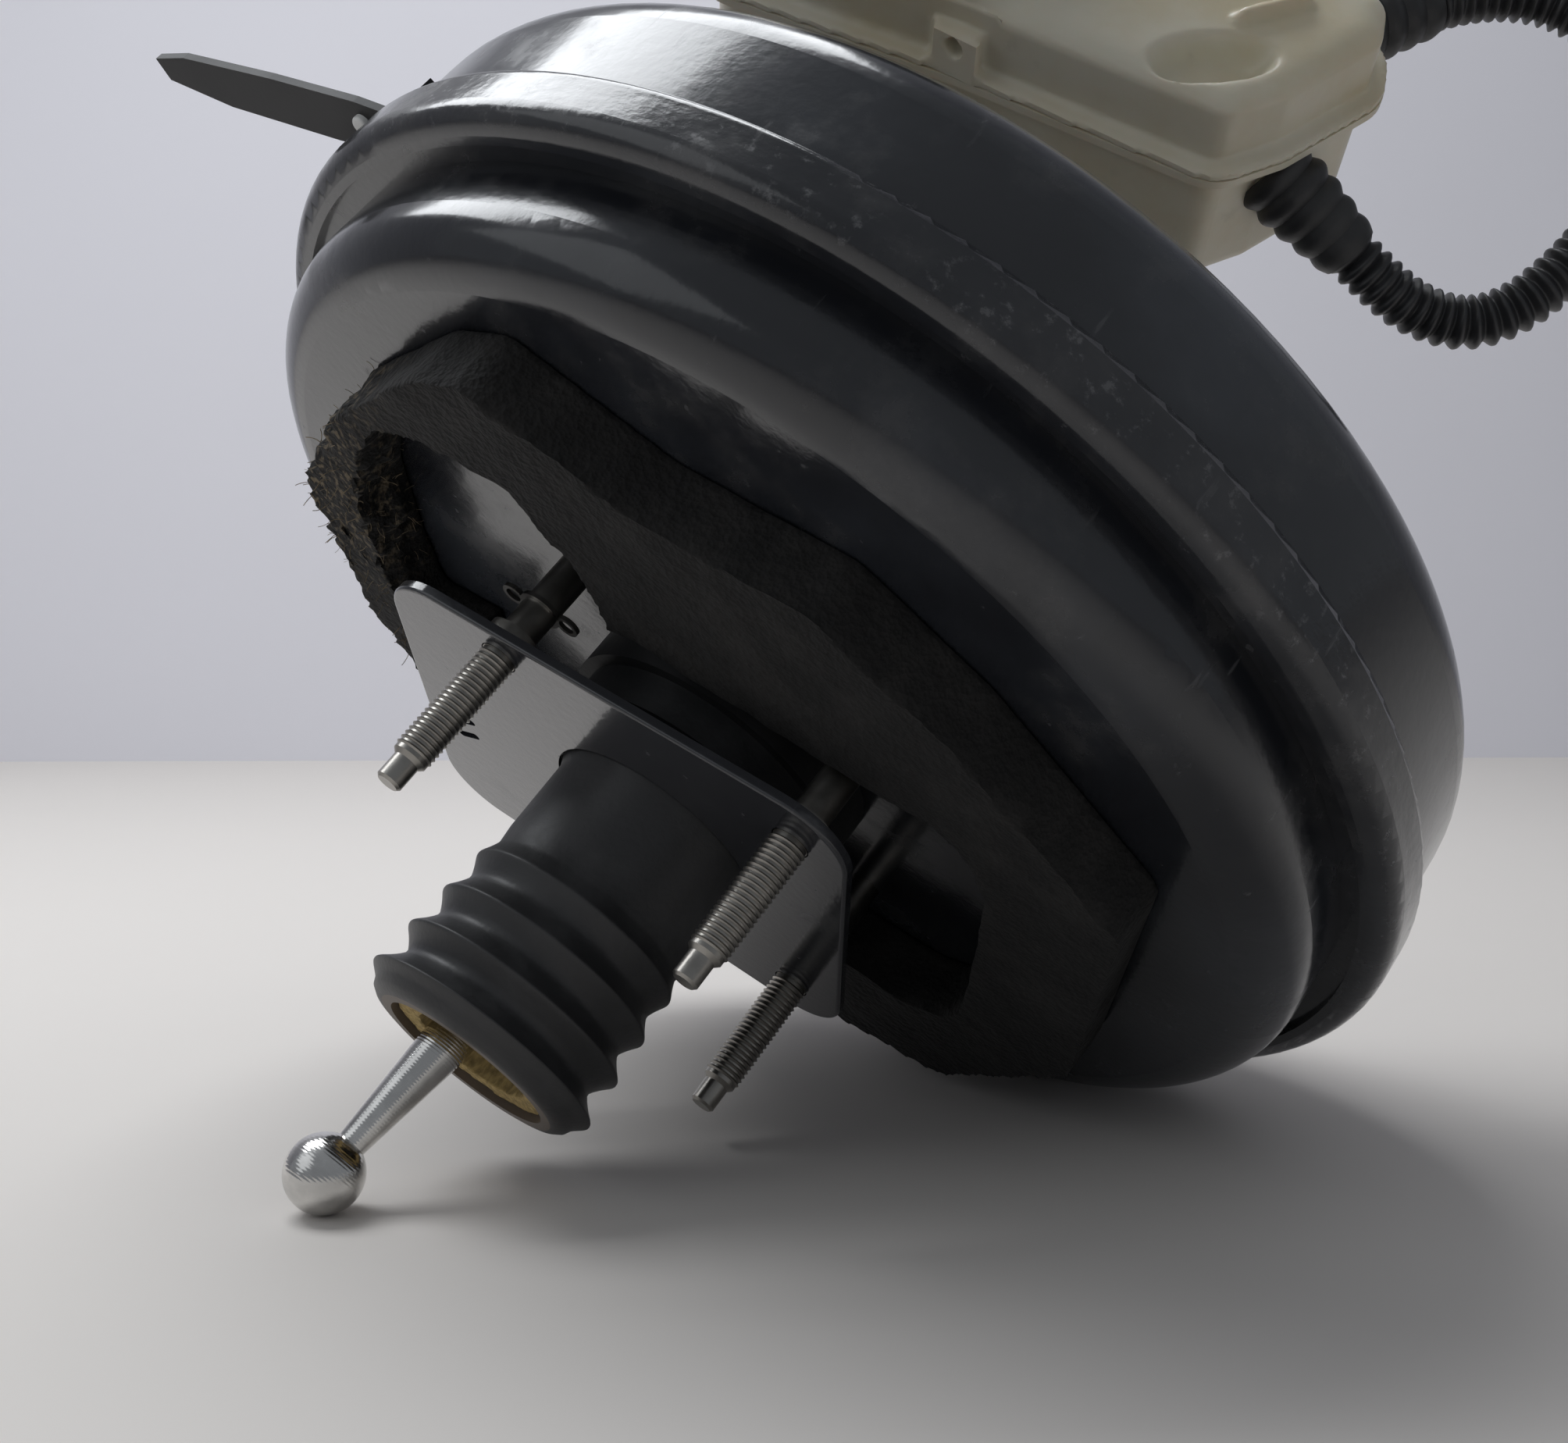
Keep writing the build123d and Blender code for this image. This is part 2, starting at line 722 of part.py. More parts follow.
for spring_name, spring_from, spring_to in (
    ("primary_spring", piston_back + piston_len, second_back),
    ("secondary_spring", second_back + second_len, mc_end - mc_end_wall),
):
    with BuildPart() as piston_spring:
        add(coil(bore_r - 3.0, 0.9, spring_from, spring_to, 4.6))
    save(piston_spring, spring_name)

# Reservoir: two moulded halves welded at a flange, standing on two grommets
knee = (res_right - 62.0, res_near + 9.5)  # bend of the near wall, where the tab stands
res_outline = [
    (res_left, res_near),
    knee,
    (res_right, res_near + 14),
    (res_right + 8, res_near + 27),
    (res_bulge, res_near + 52),
    (res_bulge - 4, res_far - 8),
    (res_right - 2, res_far),
    (res_left + 16, res_far),
    (res_left - 2, res_far - 20),
]


def tank_face(z, grow=0.0):
    """The tank's outline at height z, grown outward by grow."""
    with BuildSketch(Plane.XY.offset(z), mode=Mode.PRIVATE) as face:
        with BuildLine():
            Polyline(*res_outline, close=True)
        make_face()
        fillet(face.vertices(), res_corner)
        if grow:
            offset(amount=grow)
    return face.sketch


lug_gap = 0.4
stub_r = 6.5
stub_len = 16.0
sensor_stub = Plane(origin=(33, 185, 73.5), z_dir=(0.885, 0, -0.465))
return_stub = Plane(origin=(27, res_far + 2, 69), z_dir=(0.55, 0.835, 0))
with BuildPart() as reservoir_lower:
    extrude(tank_face(res_floor), amount=seam_z - res_floor)
    fillet(reservoir_lower.faces().sort_by(Axis.Z)[0].edges(), 5.0)
    extrude(tank_face(seam_z, seam_lip), amount=-seam_t)
    with Locations(sensor_stub.location, return_stub.location):
        Cylinder(stub_r, stub_len, align=(Align.CENTER, Align.CENTER, Align.MIN))
    above = seam_z + stub_r
    extrude(tank_face(above, -res_wall), amount=-(above - res_floor - res_wall), mode=Mode.SUBTRACT)
    with Locations(*[(0, y, res_floor + res_wall) for y in port_y]):
        Cylinder(nipple_r, 22.0, align=(Align.CENTER, Align.CENTER, Align.MAX))
        Cylinder(nipple_r - 2, 30.0, align=(Align.CENTER, Align.CENTER, Align.MAX), mode=Mode.SUBTRACT)
    with Locations((filler[0], filler[1], res_floor)):
        Cylinder(float_pin_r, seam_z - res_floor - 2, align=(Align.CENTER, Align.CENTER, Align.MIN))
    lug_x = lug_t / 2 + lug_gap
    for side in (-1, 1):
        with Locations((side * (lug_x + 1.75), (port_y[0] + port_y[1]) / 2, pin_z - 6)):
            Box(3.5, lug_len, res_floor - pin_z + 7, align=(Align.CENTER, Align.CENTER, Align.MIN))
    with Locations((0, (port_y[0] + port_y[1]) / 2, pin_z)):
        Cylinder(pin_r + fit, 4 * lug_x, rotation=(0, 90, 0), mode=Mode.SUBTRACT)
save(reservoir_lower, "reservoir_lower")

tab_w = 12.0
tab_t = 2.5
tab_h = 12.0
tab_hole_r = 2.4
with BuildPart() as reservoir_upper:
    extrude(tank_face(seam_z), amount=res_top - seam_z)
    fillet(reservoir_upper.faces().sort_by(Axis.Z)[-1].edges(), 7.0)
    extrude(tank_face(seam_z, seam_lip), amount=seam_t)
    extrude(tank_face(seam_z, -res_wall), amount=res_top - seam_z - res_wall, mode=Mode.SUBTRACT)
    with Locations((*filler, res_top - res_wall)):
        standing = (Align.CENTER, Align.CENTER, Align.MIN)
        Cylinder(filler_r, filler_len + res_wall, align=standing)
        Cylinder(filler_r - 3, filler_len + res_wall, align=standing, mode=Mode.SUBTRACT)
    with BuildSketch(across(knee[1] - seam_lip + tab_t)):
        with Locations((knee[0], seam_z + tab_h / 2)):
            Rectangle(tab_w, tab_h)
        with Locations((knee[0], seam_z + tab_h - 4)):
            Circle(tab_hole_r, mode=Mode.SUBTRACT)
    extrude(amount=tab_t)
save(reservoir_upper, "reservoir_upper")

with BuildPart() as reservoir_cap:
    with BuildSketch(Plane.XY.offset(res_top + 1.0)) as cap_face:
        Circle(cap_r)
        with PolarLocations(cap_r, 24):
            Circle(1.3, mode=Mode.SUBTRACT)
    extrude(amount=cap_h)
    fillet(reservoir_cap.faces().sort_by(Axis.Z)[-1].outer_wire().edges(), 0.8)
    with BuildSketch(Plane.XY.offset(res_top + 1.0)):
        Circle(filler_r + gap)
    extrude(amount=filler_len + 1.2, mode=Mode.SUBTRACT)
reservoir_cap.part = Pos(filler[0], filler[1], 0) * reservoir_cap.part
save(reservoir_cap, "reservoir_cap")

with BuildPart() as cap_gasket:
    with BuildSketch(Plane.XY.offset(res_top + filler_len + gap)):
        with Locations(filler):
            Circle(filler_r)
            Circle(filler_r - 4, mode=Mode.SUBTRACT)
    extrude(amount=1.5)
save(cap_gasket, "cap_gasket")

with BuildPart() as level_float:
    with BuildSketch(Plane.XY.offset(seam_z - float_drop)):
        with Locations(filler):
            Circle(float_r)
            Circle(float_pin_r + gap, mode=Mode.SUBTRACT)
    extrude(amount=float_t)
save(level_float, "level_float")

with BuildPart() as reservoir_grommets:
    with BuildSketch(Plane.XY.offset(port_boss_top - grommet_depth + fit)):
        with Locations(*[(0, y) for y in port_y]):
            Circle(grommet_r)
            Circle(nipple_r + fit, mode=Mode.SUBTRACT)
    extrude(amount=grommet_depth)
    with BuildSketch(Plane.XY.offset(port_boss_top + fit)):
        with Locations(*[(0, y) for y in port_y]):
            Circle(port_boss_r)
            Circle(nipple_r + fit, mode=Mode.SUBTRACT)
    extrude(amount=grommet_lip_h)
save(reservoir_grommets, "reservoir_grommets")

with BuildPart() as retaining_pin:
    with Locations((0, (port_y[0] + port_y[1]) / 2, pin_z)):
        Cylinder(pin_r, 2 * lug_x + 10, rotation=(0, 90, 0))
        with Locations((lug_x + 6, 0, 0)):
            Cylinder(pin_r + 1.6, 2.0, rotation=(0, 90, 0))
save(retaining_pin, "retaining_pin")

# Level-sensor conduit: a ridged boot on each stub and a corrugated tube looped between them
boot_len = 17.0
ridge_r = 8.6
ridge_groove = 1.0
ridges = 4
conduit_r = 6.25
bend_share = 0.45


def ridged_boot(stub):
    """A boot with rounded ridges, standing on the end of a stub."""
    pitch_z = boot_len / ridges
    with BuildPart(mode=Mode.PRIVATE) as boot:
        with BuildSketch(stub.offset(stub_len)):
            Circle(ridge_r - ridge_groove)
        extrude(amount=boot_len)
        for ridge in range(ridges):
            with BuildSketch(stub.offset(stub_len + (ridge + 0.2) * pitch_z)):
                Circle(ridge_r)
            extrude(amount=0.6 * pitch_z)
    return boot.part


for boot_name, stub in (("sensor_boot", sensor_stub), ("return_boot", return_stub)):
    with BuildPart() as conduit_boot:
        add(ridged_boot(stub))
    save(conduit_boot, boot_name)

conduit_start = sensor_stub.offset(stub_len + boot_len).origin
conduit_stop = return_stub.offset(stub_len + boot_len).origin
conduit_points = [
    conduit_start,
    conduit_start + sensor_stub.z_dir * 13.0,
    Vector(83.6, 188, 47.6),
    Vector(92.3, 192, 46.8),
    Vector(99, 199, 49.5),
    Vector(103.5, 209, 54),
    Vector(106, 221, 58),
    Vector(106.5, 234, 61),
    Vector(104, 247, 63.5),
    Vector(98, 258.5, 65.5),
    Vector(88.5, 267.5, 67.3),
    Vector(76.5, 272, 68.5),
    Vector(64, 271, 69),
    conduit_stop + return_stub.z_dir * 11.0,
    conduit_stop,
]
conduit_radii = []
for before, corner, after in zip(conduit_points, conduit_points[1:], conduit_points[2:]):
    turn = radians((corner - before).get_angle(after - corner))
    shorter = min((corner - before).length, (after - corner).length)
    conduit_radii.append(bend_share * shorter / tan(turn / 2))
print("conduit bend radii", [round(radius, 1) for radius in conduit_radii])
with BuildPart() as sensor_conduit:
    with BuildLine() as conduit_path:
        FilletPolyline(*conduit_points, radius=conduit_radii)
    with BuildSketch(Plane(origin=conduit_start, z_dir=sensor_stub.z_dir)):
        Circle(conduit_r)
    sweep(path=conduit_path.wire())
conduit_length = conduit_path.wire().length
print("conduit length", round(conduit_length, 1))
full_volume = pi * conduit_r**2 * conduit_length
print("conduit volume share", round(sensor_conduit.part.volume / full_volume, 4))
save(sensor_conduit, "sensor_conduit")

# Vacuum check valve in its grommet, on the front shell
valve_flange_r = 11.0
valve_stem_r = 6.0
hose_r = 5.0
hose_len = 20.0
grommet_lip = 3.0
grommet_lip_t = 3.5
with BuildPart() as valve_grommet:
    with BuildSketch(across(front_face + grommet_lip_t)):
        with Locations(valve_spot):
            Circle(valve_hole_r + grommet_lip)
            Circle(valve_stem_r + fit, mode=Mode.SUBTRACT)
    extrude(amount=grommet_lip_t)
    with BuildSketch(across(front_face)):
        with Locations(valve_spot):
            Circle(valve_hole_r - fit)
            Circle(valve_stem_r + fit, mode=Mode.SUBTRACT)
    extrude(amount=sheet)
    with BuildSketch(across(front_face - sheet)):
        with Locations(valve_spot):
            Circle(valve_hole_r + 2)
            Circle(valve_stem_r + fit, mode=Mode.SUBTRACT)
    extrude(amount=grommet_lip_t)
save(valve_grommet, "valve_grommet")

valve_seat = front_face + grommet_lip_t
valve_case = 9.0
valve_profile = [
    (hose_r - 2, front_face - sheet - grommet_lip_t - 2),
    (valve_stem_r, front_face - sheet - grommet_lip_t - 2),
    (valve_stem_r, valve_seat),
    (valve_flange_r, valve_seat),
    (valve_flange_r, valve_seat + valve_case),
    (hose_r, valve_seat + valve_case),
    (hose_r, valve_seat + valve_case + hose_len),
    (hose_r - 0.8, valve_seat + valve_case + hose_len + 2),
    (hose_r - 2, valve_seat + valve_case + hose_len + 2),
]
with BuildPart() as check_valve:
    turned_valve = revolve(section(valve_profile), axis=Axis.Y, mode=Mode.PRIVATE)
    add(Pos(valve_spot[0], 0, valve_spot[1]) * turned_valve)
save(check_valve, "check_valve")

# Harness strap welded to the drum's side, with a round push-in clip at its root
strap_t = 2.0
strap_y = seat_y + sheet + 5.0
strap_outline = [
    (x * drum_r / 146, z * drum_r / 146)
    for x, z in (
        (-104, 92), (-129, 87), (-156, 79), (-186, 69), (-197, 63),
        (-194, 58), (-173, 61), (-137, 71), (-110, 80),
    )
]
foot_len = 14.0
foot_w = 14.0
clip_spot = (-0.87 * drum_r, 0.56 * drum_r)
clip_r = 2.4
clip_stem_r = 1.5
with BuildPart() as harness_strap:
    with BuildSketch(across(strap_y + strap_t)):
        with BuildLine():
            Polyline(*strap_outline, close=True)
        make_face()
        Circle(drum_r + fit, mode=Mode.SUBTRACT)
        with Locations(clip_spot):
            Circle(clip_stem_r + fit, mode=Mode.SUBTRACT)
    extrude(amount=strap_t)
    with BuildSketch(across(strap_y + strap_t + foot_len)):
        Circle(drum_r + fit + strap_t)
        Circle(drum_r + fit, mode=Mode.SUBTRACT)
        with Locations(clip_spot):
            Rectangle(2 * foot_w, foot_w, rotation=-37, mode=Mode.INTERSECT)
    extrude(amount=foot_len)
save(harness_strap, "harness_strap")

with BuildPart() as strap_clip:
    with BuildSketch(across(strap_y)):
        with Locations(clip_spot):
            Circle(clip_r)
    extrude(amount=1.6)
    fillet(strap_clip.faces().sort_by(Axis.Y)[0].edges(), 0.7)
    with BuildSketch(across(strap_y + strap_t)):
        with Locations(clip_spot):
            Circle(clip_stem_r)
    extrude(amount=strap_t)
save(strap_clip, "strap_clip")
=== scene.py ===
import json
from math import cos, pi, sin, sqrt

import bmesh
import bpy
import numpy as np
from mathutils import Matrix, Vector, noise


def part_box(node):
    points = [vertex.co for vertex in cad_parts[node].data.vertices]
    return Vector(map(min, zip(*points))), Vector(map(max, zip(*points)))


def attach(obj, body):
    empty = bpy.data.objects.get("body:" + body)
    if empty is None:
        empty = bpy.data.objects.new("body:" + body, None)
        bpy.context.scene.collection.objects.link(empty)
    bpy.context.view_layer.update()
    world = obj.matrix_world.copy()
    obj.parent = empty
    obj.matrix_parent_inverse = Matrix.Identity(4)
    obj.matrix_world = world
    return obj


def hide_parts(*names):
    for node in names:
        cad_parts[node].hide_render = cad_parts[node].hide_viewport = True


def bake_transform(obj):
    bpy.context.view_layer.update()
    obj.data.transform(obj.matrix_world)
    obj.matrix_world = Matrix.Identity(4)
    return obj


bl_info = {
    "name": "Brake booster dressing",
    "version": (1, 0, 0),
    "blender": (4, 5, 0),
    "location": "3D View > Sidebar > Booster",
    "description": "Gives the packed brake booster its finishes, soft pieces, threads and stage",
    "category": "Object",
}

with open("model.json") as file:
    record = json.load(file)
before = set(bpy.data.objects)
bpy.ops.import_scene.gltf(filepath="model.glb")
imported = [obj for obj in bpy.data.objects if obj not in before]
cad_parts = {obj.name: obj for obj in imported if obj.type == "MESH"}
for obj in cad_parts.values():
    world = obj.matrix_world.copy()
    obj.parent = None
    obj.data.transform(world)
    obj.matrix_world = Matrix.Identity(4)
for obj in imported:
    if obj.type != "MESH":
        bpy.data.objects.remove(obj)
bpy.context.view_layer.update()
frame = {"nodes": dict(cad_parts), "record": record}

# Camera: axes in the object's frame, place in metres, and focal length in pixels of a 2008 px wide image
VIEW_RIGHT = (0.81927, 0.57339, -0.00503)
VIEW_DOWN = (0.50362, -0.72373, -0.47179)
VIEW_AHEAD = (-0.27416, 0.38399, -0.88170)
VIEW_FROM = (0.13095, -0.13247, 0.39452)
VIEW_FOCAL = 2486.2
IMAGE_WIDTH = 2008
SENSOR_MM = 36.0

# The rod's ball, on which the part rests with its rim
BALL_CENTRE = Vector((-0.00886, -0.10067, 0.0))
BALL_R = 0.0085

# Stubs on the reservoir with their boots, and the conduit's way from one to the other
SENSOR_AXIS = Vector((0.885, 0.0, -0.465)).normalized()
RETURN_AXIS = Vector((0.55, 0.835, 0.0)).normalized()
SENSOR_STUB = Vector((0.033, 0.185, 0.0735))
RETURN_STUB = Vector((0.027, 0.226, 0.069))
STUB_LEN = 0.016
BOOT_LEN = 0.017
CONDUIT_START = SENSOR_STUB + (STUB_LEN + BOOT_LEN) * SENSOR_AXIS
CONDUIT_STOP = RETURN_STUB + (STUB_LEN + BOOT_LEN) * RETURN_AXIS
CONDUIT_ROUTE = [
    CONDUIT_START,
    CONDUIT_START + 0.013 * SENSOR_AXIS,
    Vector((0.0836, 0.188, 0.0476)),
    Vector((0.0923, 0.192, 0.0468)),
    Vector((0.099, 0.199, 0.0495)),
    Vector((0.1035, 0.209, 0.054)),
    Vector((0.106, 0.221, 0.058)),
    Vector((0.1065, 0.234, 0.061)),
    Vector((0.104, 0.247, 0.0635)),
    Vector((0.098, 0.2585, 0.0655)),
    Vector((0.0885, 0.2675, 0.0673)),
    Vector((0.0765, 0.272, 0.0685)),
    Vector((0.064, 0.271, 0.069)),
    CONDUIT_STOP + 0.011 * RETURN_AXIS,
    CONDUIT_STOP,
]

# Radii between which the shells turn into the rolled rim
RIM_BAND = (0.1462, 0.1490)

# Wall studs, from the mounting plate's face
STUD_X = 0.0375
STUD_Z = 0.040
STUD_R = 0.0040
THREAD_FROM = -0.0012
THREAD_LEN = 0.0275
THREAD_SLANT = 0.05

# Reservoir's upper half: its seam, its height in the solids, and what is moulded on it, as (x, y)
SEAM_Z = 0.080
LIP_T = 0.0022
UPPER_H = 0.032
FILLER = (-0.058, 0.194)
DOME_R = (0.029, 0.046)
TAB = (-0.030, 0.1645)
TAB_HALF = 0.0075
TAB_H = 0.0098
SCOOP = (0.022, 0.1790)
SCOOP_WAY = (0.80, 0.60)
SCOOP_HALF = (0.0150, 0.0075)
SCOOP_DEPTH = 0.0065
RIB = (0.026, 0.198)
RIB_WAY = (0.6, 0.8)
RIB_H = 0.0026

# Where the foam is worn away at its left, as (x, z)
FOAM_POCKET = [
    (-0.086, 0.056), (-0.078, 0.070), (-0.064, 0.077), (-0.051, 0.079), (-0.041, 0.078), (-0.034, 0.071),
    (-0.028, 0.066), (-0.020, 0.050), (-0.024, 0.034), (-0.020, 0.020), (-0.020, 0.0), (-0.060, -0.010),
    (-0.088, -0.014), (-0.091, 0.010), (-0.091, 0.035),
]


class BoosterSizes(bpy.types.PropertyGroup):
    thread_pitch: bpy.props.FloatProperty(
        name="Thread pitch", description="Distance between turns on the wall studs",
        default=0.00125, min=0.0005, unit="LENGTH")
    thread_depth: bpy.props.FloatProperty(
        name="Thread height", description="How far a turn stands out of the stud's core",
        default=0.0003, min=0.00005, unit="LENGTH")
    conduit_pitch: bpy.props.FloatProperty(
        name="Conduit pitch", description="Distance between the ridges of the corrugated tube",
        default=0.0034, min=0.001, unit="LENGTH")
    conduit_groove: bpy.props.FloatProperty(
        name="Conduit groove", description="Depth of the grooves between those ridges",
        default=0.0016, min=0.0001, unit="LENGTH")
    deck_height: bpy.props.FloatProperty(
        name="Reservoir deck", description="Height of the reservoir's low deck above its seam",
        default=0.0175, min=0.012, max=0.032, unit="LENGTH")
    foam_roughness: bpy.props.FloatProperty(
        name="Foam crumble", description="Height of the lumps on the foam ring",
        default=0.0016, min=0.0, unit="LENGTH")


class BoosterColours(bpy.types.PropertyGroup):
    paint: bpy.props.FloatVectorProperty(
        name="Shell paint", description="Gloss paint on the shells", subtype="COLOR",
        size=3, default=(0.014, 0.015, 0.018))
    plate: bpy.props.FloatVectorProperty(
        name="Plate paint", description="Gloss paint on the mounting plate", subtype="COLOR",
        size=3, default=(0.030, 0.031, 0.035))
    rubber: bpy.props.FloatVectorProperty(
        name="Rubber", description="Gaiter, seat and boots", subtype="COLOR",
        size=3, default=(0.022, 0.022, 0.023))
    foam: bpy.props.FloatVectorProperty(
        name="Foam", description="Foam gasket", subtype="COLOR", size=3, default=(0.0075, 0.0070, 0.0066))
    foam_tan: bpy.props.FloatVectorProperty(
        name="Torn foam", description="Fibres on the torn edge of the gasket", subtype="COLOR",
        size=3, default=(0.32, 0.25, 0.16))
    felt: bpy.props.FloatVectorProperty(
        name="Felt", description="Air filter", subtype="COLOR", size=3, default=(0.44, 0.32, 0.13))
    cream: bpy.props.FloatVectorProperty(
        name="Reservoir", description="Moulded reservoir halves", subtype="COLOR",
        size=3, default=(0.66, 0.615, 0.50))
    zinc: bpy.props.FloatVectorProperty(
        name="Zinc", description="Studs and other plated pieces", subtype="COLOR",
        size=3, default=(0.34, 0.325, 0.30))
    steel: bpy.props.FloatVectorProperty(
        name="Steel", description="Polished input rod", subtype="COLOR", size=3, default=(0.66, 0.65, 0.63))
    floor: bpy.props.FloatVectorProperty(
        name="Floor", description="Table under the part", subtype="COLOR",
        size=3, default=(0.74, 0.70, 0.66))
    wall: bpy.props.FloatVectorProperty(
        name="Wall", description="Wall behind the part", subtype="COLOR", size=3, default=(0.80, 0.79, 0.84))


class Term:
    """A shader value that takes part in Python sums."""

    def __init__(self, finish, socket):
        self.finish = finish
        self.socket = socket

    def _math(self, operation, first, second):
        return self.finish.node("ShaderNodeMath", {"operation": operation}, {0: first, 1: second})

    def __add__(self, other):
        return self._math("ADD", self, other)

    def __radd__(self, other):
        return self._math("ADD", other, self)

    def __sub__(self, other):
        return self._math("SUBTRACT", self, other)

    def __rsub__(self, other):
        return self._math("SUBTRACT", other, self)

    def __mul__(self, other):
        return self._math("MULTIPLY", self, other)

    def __rmul__(self, other):
        return self._math("MULTIPLY", other, self)

    def clamp(self):
        return self.finish.node("ShaderNodeClamp", {}, {"Value": self})

    def step(self, low, high):
        """0 below low, 1 above high, smooth between."""
        settings = {"interpolation_type": "SMOOTHSTEP"}
        values = {"Value": self, "From Min": low, "From Max": high}
        return self.finish.node("ShaderNodeMapRange", settings, values)


LIBRARY = {}


class Finish:
    """One node material on a Principled shader, kept in LIBRARY."""

    def __init__(self, name):
        self.material = bpy.data.materials.new(name + "_finish")
        LIBRARY[name] = self.material
        self.material.use_nodes = True
        self.tree = self.material.node_tree
        self.shader = self.tree.nodes["Principled BSDF"]
        self.place = self.node("ShaderNodeTexCoord", {}, {}, "Object")

    def put(self, socket, value):
        if isinstance(value, Term):
            self.tree.links.new(value.socket, socket)
        elif isinstance(value, (tuple, list)) and socket.type == "RGBA":
            socket.default_value = (*value[:3], 1.0)
        else:
            socket.default_value = value

    def node(self, kind, settings, values, output=0):
        made = self.tree.nodes.new(kind)
        for key, value in settings.items():
            setattr(made, key, value)
        for key, value in values.items():
            self.put(made.inputs[key], value)
        return Term(self, made.outputs[output])

    def grain(self, scale, detail=4.0, rough=0.55):
        values = {"Vector": self.place, "Scale": scale, "Detail": detail, "Roughness": rough}
        return self.node("ShaderNodeTexNoise", {}, values, "Fac")

    def cells(self, scale):
        return self.node("ShaderNodeTexVoronoi", {}, {"Vector": self.place, "Scale": scale}, "Distance")

    def along(self, axis):
        return self.node("ShaderNodeSeparateXYZ", {}, {"Vector": self.place}, axis)

    def radius(self):
        """Distance from the booster's axis."""
        flat = self.node("ShaderNodeMapping", {}, {"Vector": self.place, "Scale": (1.0, 0.0, 1.0)})
        return self.node("ShaderNodeVectorMath", {"operation": "LENGTH"}, {0: flat}, "Value")

    def stretched(self, scale, stretch):
        turned = self.node("ShaderNodeMapping", {}, {"Vector": self.place, "Scale": stretch})
        return self.node("ShaderNodeTexNoise", {}, {"Vector": turned, "Scale": scale, "Detail": 5.0}, "Fac")

    def mix(self, share, first, second):
        """A colour that share of the way from the first to the second."""
        return self.node("ShaderNodeMix", {"data_type": "RGBA"}, {0: share, 6: first, 7: second}, 2)

    def bump(self, height, strength, distance):
        values = {"Height": height, "Strength": strength, "Distance": distance}
        self.put(self.shader.inputs["Normal"], self.node("ShaderNodeBump", {}, values, "Normal"))

    def set(self, **values):
        for key, value in values.items():
            self.put(self.shader.inputs[key.replace("_", " ")], value)
        return self.material


def tint(colour, share):
    """The colour made lighter or darker."""
    return tuple(min(1.0, channel * share) for channel in colour)


def gloss_paint(name, colour, gloss):
    """Gloss paint with orange peel, handling dust and small scuffs."""
    f = Finish(name)
    dust = f.grain(38.0, 6.0).step(0.52, 0.78)
    scuff = f.stretched(220.0, (1.0, 0.12, 1.0)).step(0.66, 0.74)
    base = f.mix(dust * 0.32, colour, tuple(channel + 0.055 for channel in colour))
    base = f.mix(scuff * 0.35, base, tuple(channel + 0.10 for channel in colour))
    f.bump(f.grain(420.0, 2.0) + 0.5 * f.grain(70.0, 2.0), 0.10, 0.0006)
    return f.set(Base_Color=base, Roughness=(gloss + 0.16 * dust + 0.2 * scuff).clamp(), Coat_Weight=0.35,
                 Coat_Roughness=0.12)


def shell_paint(name, colour):
    """Gloss paint under a thin dust layer tinted blue as a painted sheen, chipped and wrinkled along the
    rolled rim.
    """
    f = Finish(name)
    # The first colour here is dust, lightened and tinted blue as a painted sheen of reflected light; grit,
    # scratch, rim brown and chipped are real dust, scratches, rim dirt and chips.
    dust_and_sheen_colour, grit, scratch = (0.062, 0.070, 0.084), (0.085, 0.082, 0.080), (0.13, 0.13, 0.135)
    rim_brown, chipped = (0.10, 0.085, 0.07), (0.17, 0.17, 0.175)
    dust_and_sheen = f.grain(11.0, 5.0).step(0.36, 0.74)
    dust = f.grain(46.0, 7.0, 0.65).step(0.50, 0.80)
    scuff = f.stretched(240.0, (1.0, 0.14, 1.0)).step(0.66, 0.75)
    rim = f.radius().step(*RIM_BAND)
    chips = rim * f.grain(300.0, 7.0, 0.65).step(0.56, 0.72)
    # Painted sheen and real dust: the first mix lays the blue-tinted dust colour in random patches over the
    # paint.
    base = f.mix(dust_and_sheen * 0.60, colour, dust_and_sheen_colour)
    base = f.mix(dust * 0.40, base, grit)
    base = f.mix(scuff * 0.30, base, scratch)
    base = f.mix(rim * 0.35 * dust_and_sheen, base, rim_brown)
    base = f.mix(chips * 0.45, base, chipped)
    wrinkle = rim * f.stretched(170.0, (0.6, 1.0, 0.6))
    f.bump(0.4 * f.grain(420.0, 2.0) + 0.5 * f.grain(60.0, 2.0) + 2.2 * wrinkle, 0.16, 0.0008)
    rough = 0.17 + 0.10 * dust_and_sheen + 0.20 * dust + 0.15 * scuff + 0.16 * chips
    return f.set(Base_Color=base, Roughness=rough.clamp(), Coat_Weight=0.30, Coat_Roughness=0.10)


def plated(name, colour, low, high, turned=0.0):
    """Bare or plated metal; turned adds fine lathe marks along the booster axis."""
    f = Finish(name)
    blotch = f.grain(160.0, 5.0)
    tarnish = f.grain(55.0, 6.0).step(0.55, 0.8)
    base = f.mix(blotch.step(0.35, 0.7), tint(colour, 0.86), tint(colour, 1.08))
    base = f.mix(tarnish * 0.5, base, tint(colour, 0.55))
    height = f.grain(900.0, 3.0)
    if turned:
        lathe = f.node("ShaderNodeMath", {"operation": "SINE"}, {0: f.along("Y") * 9000.0})
        height = height + turned * lathe
    f.bump(height, 0.12, 0.0002)
    return f.set(Base_Color=base, Metallic=1.0, Roughness=low + (high - low) * blotch + 0.12 * tarnish)


def moulded_rubber(name, colour):
    """Dull rubber with a grey bloom in patches."""
    f = Finish(name)
    bloom = f.grain(60.0, 6.0).step(0.45, 0.8)
    base = f.mix(bloom * 0.55, colour, tuple(channel + 0.045 for channel in colour))
    f.bump(f.grain(700.0, 4.0) + 0.6 * f.grain(120.0, 3.0), 0.22, 0.0004)
    return f.set(Base_Color=base, Roughness=0.46 + 0.26 * bloom)


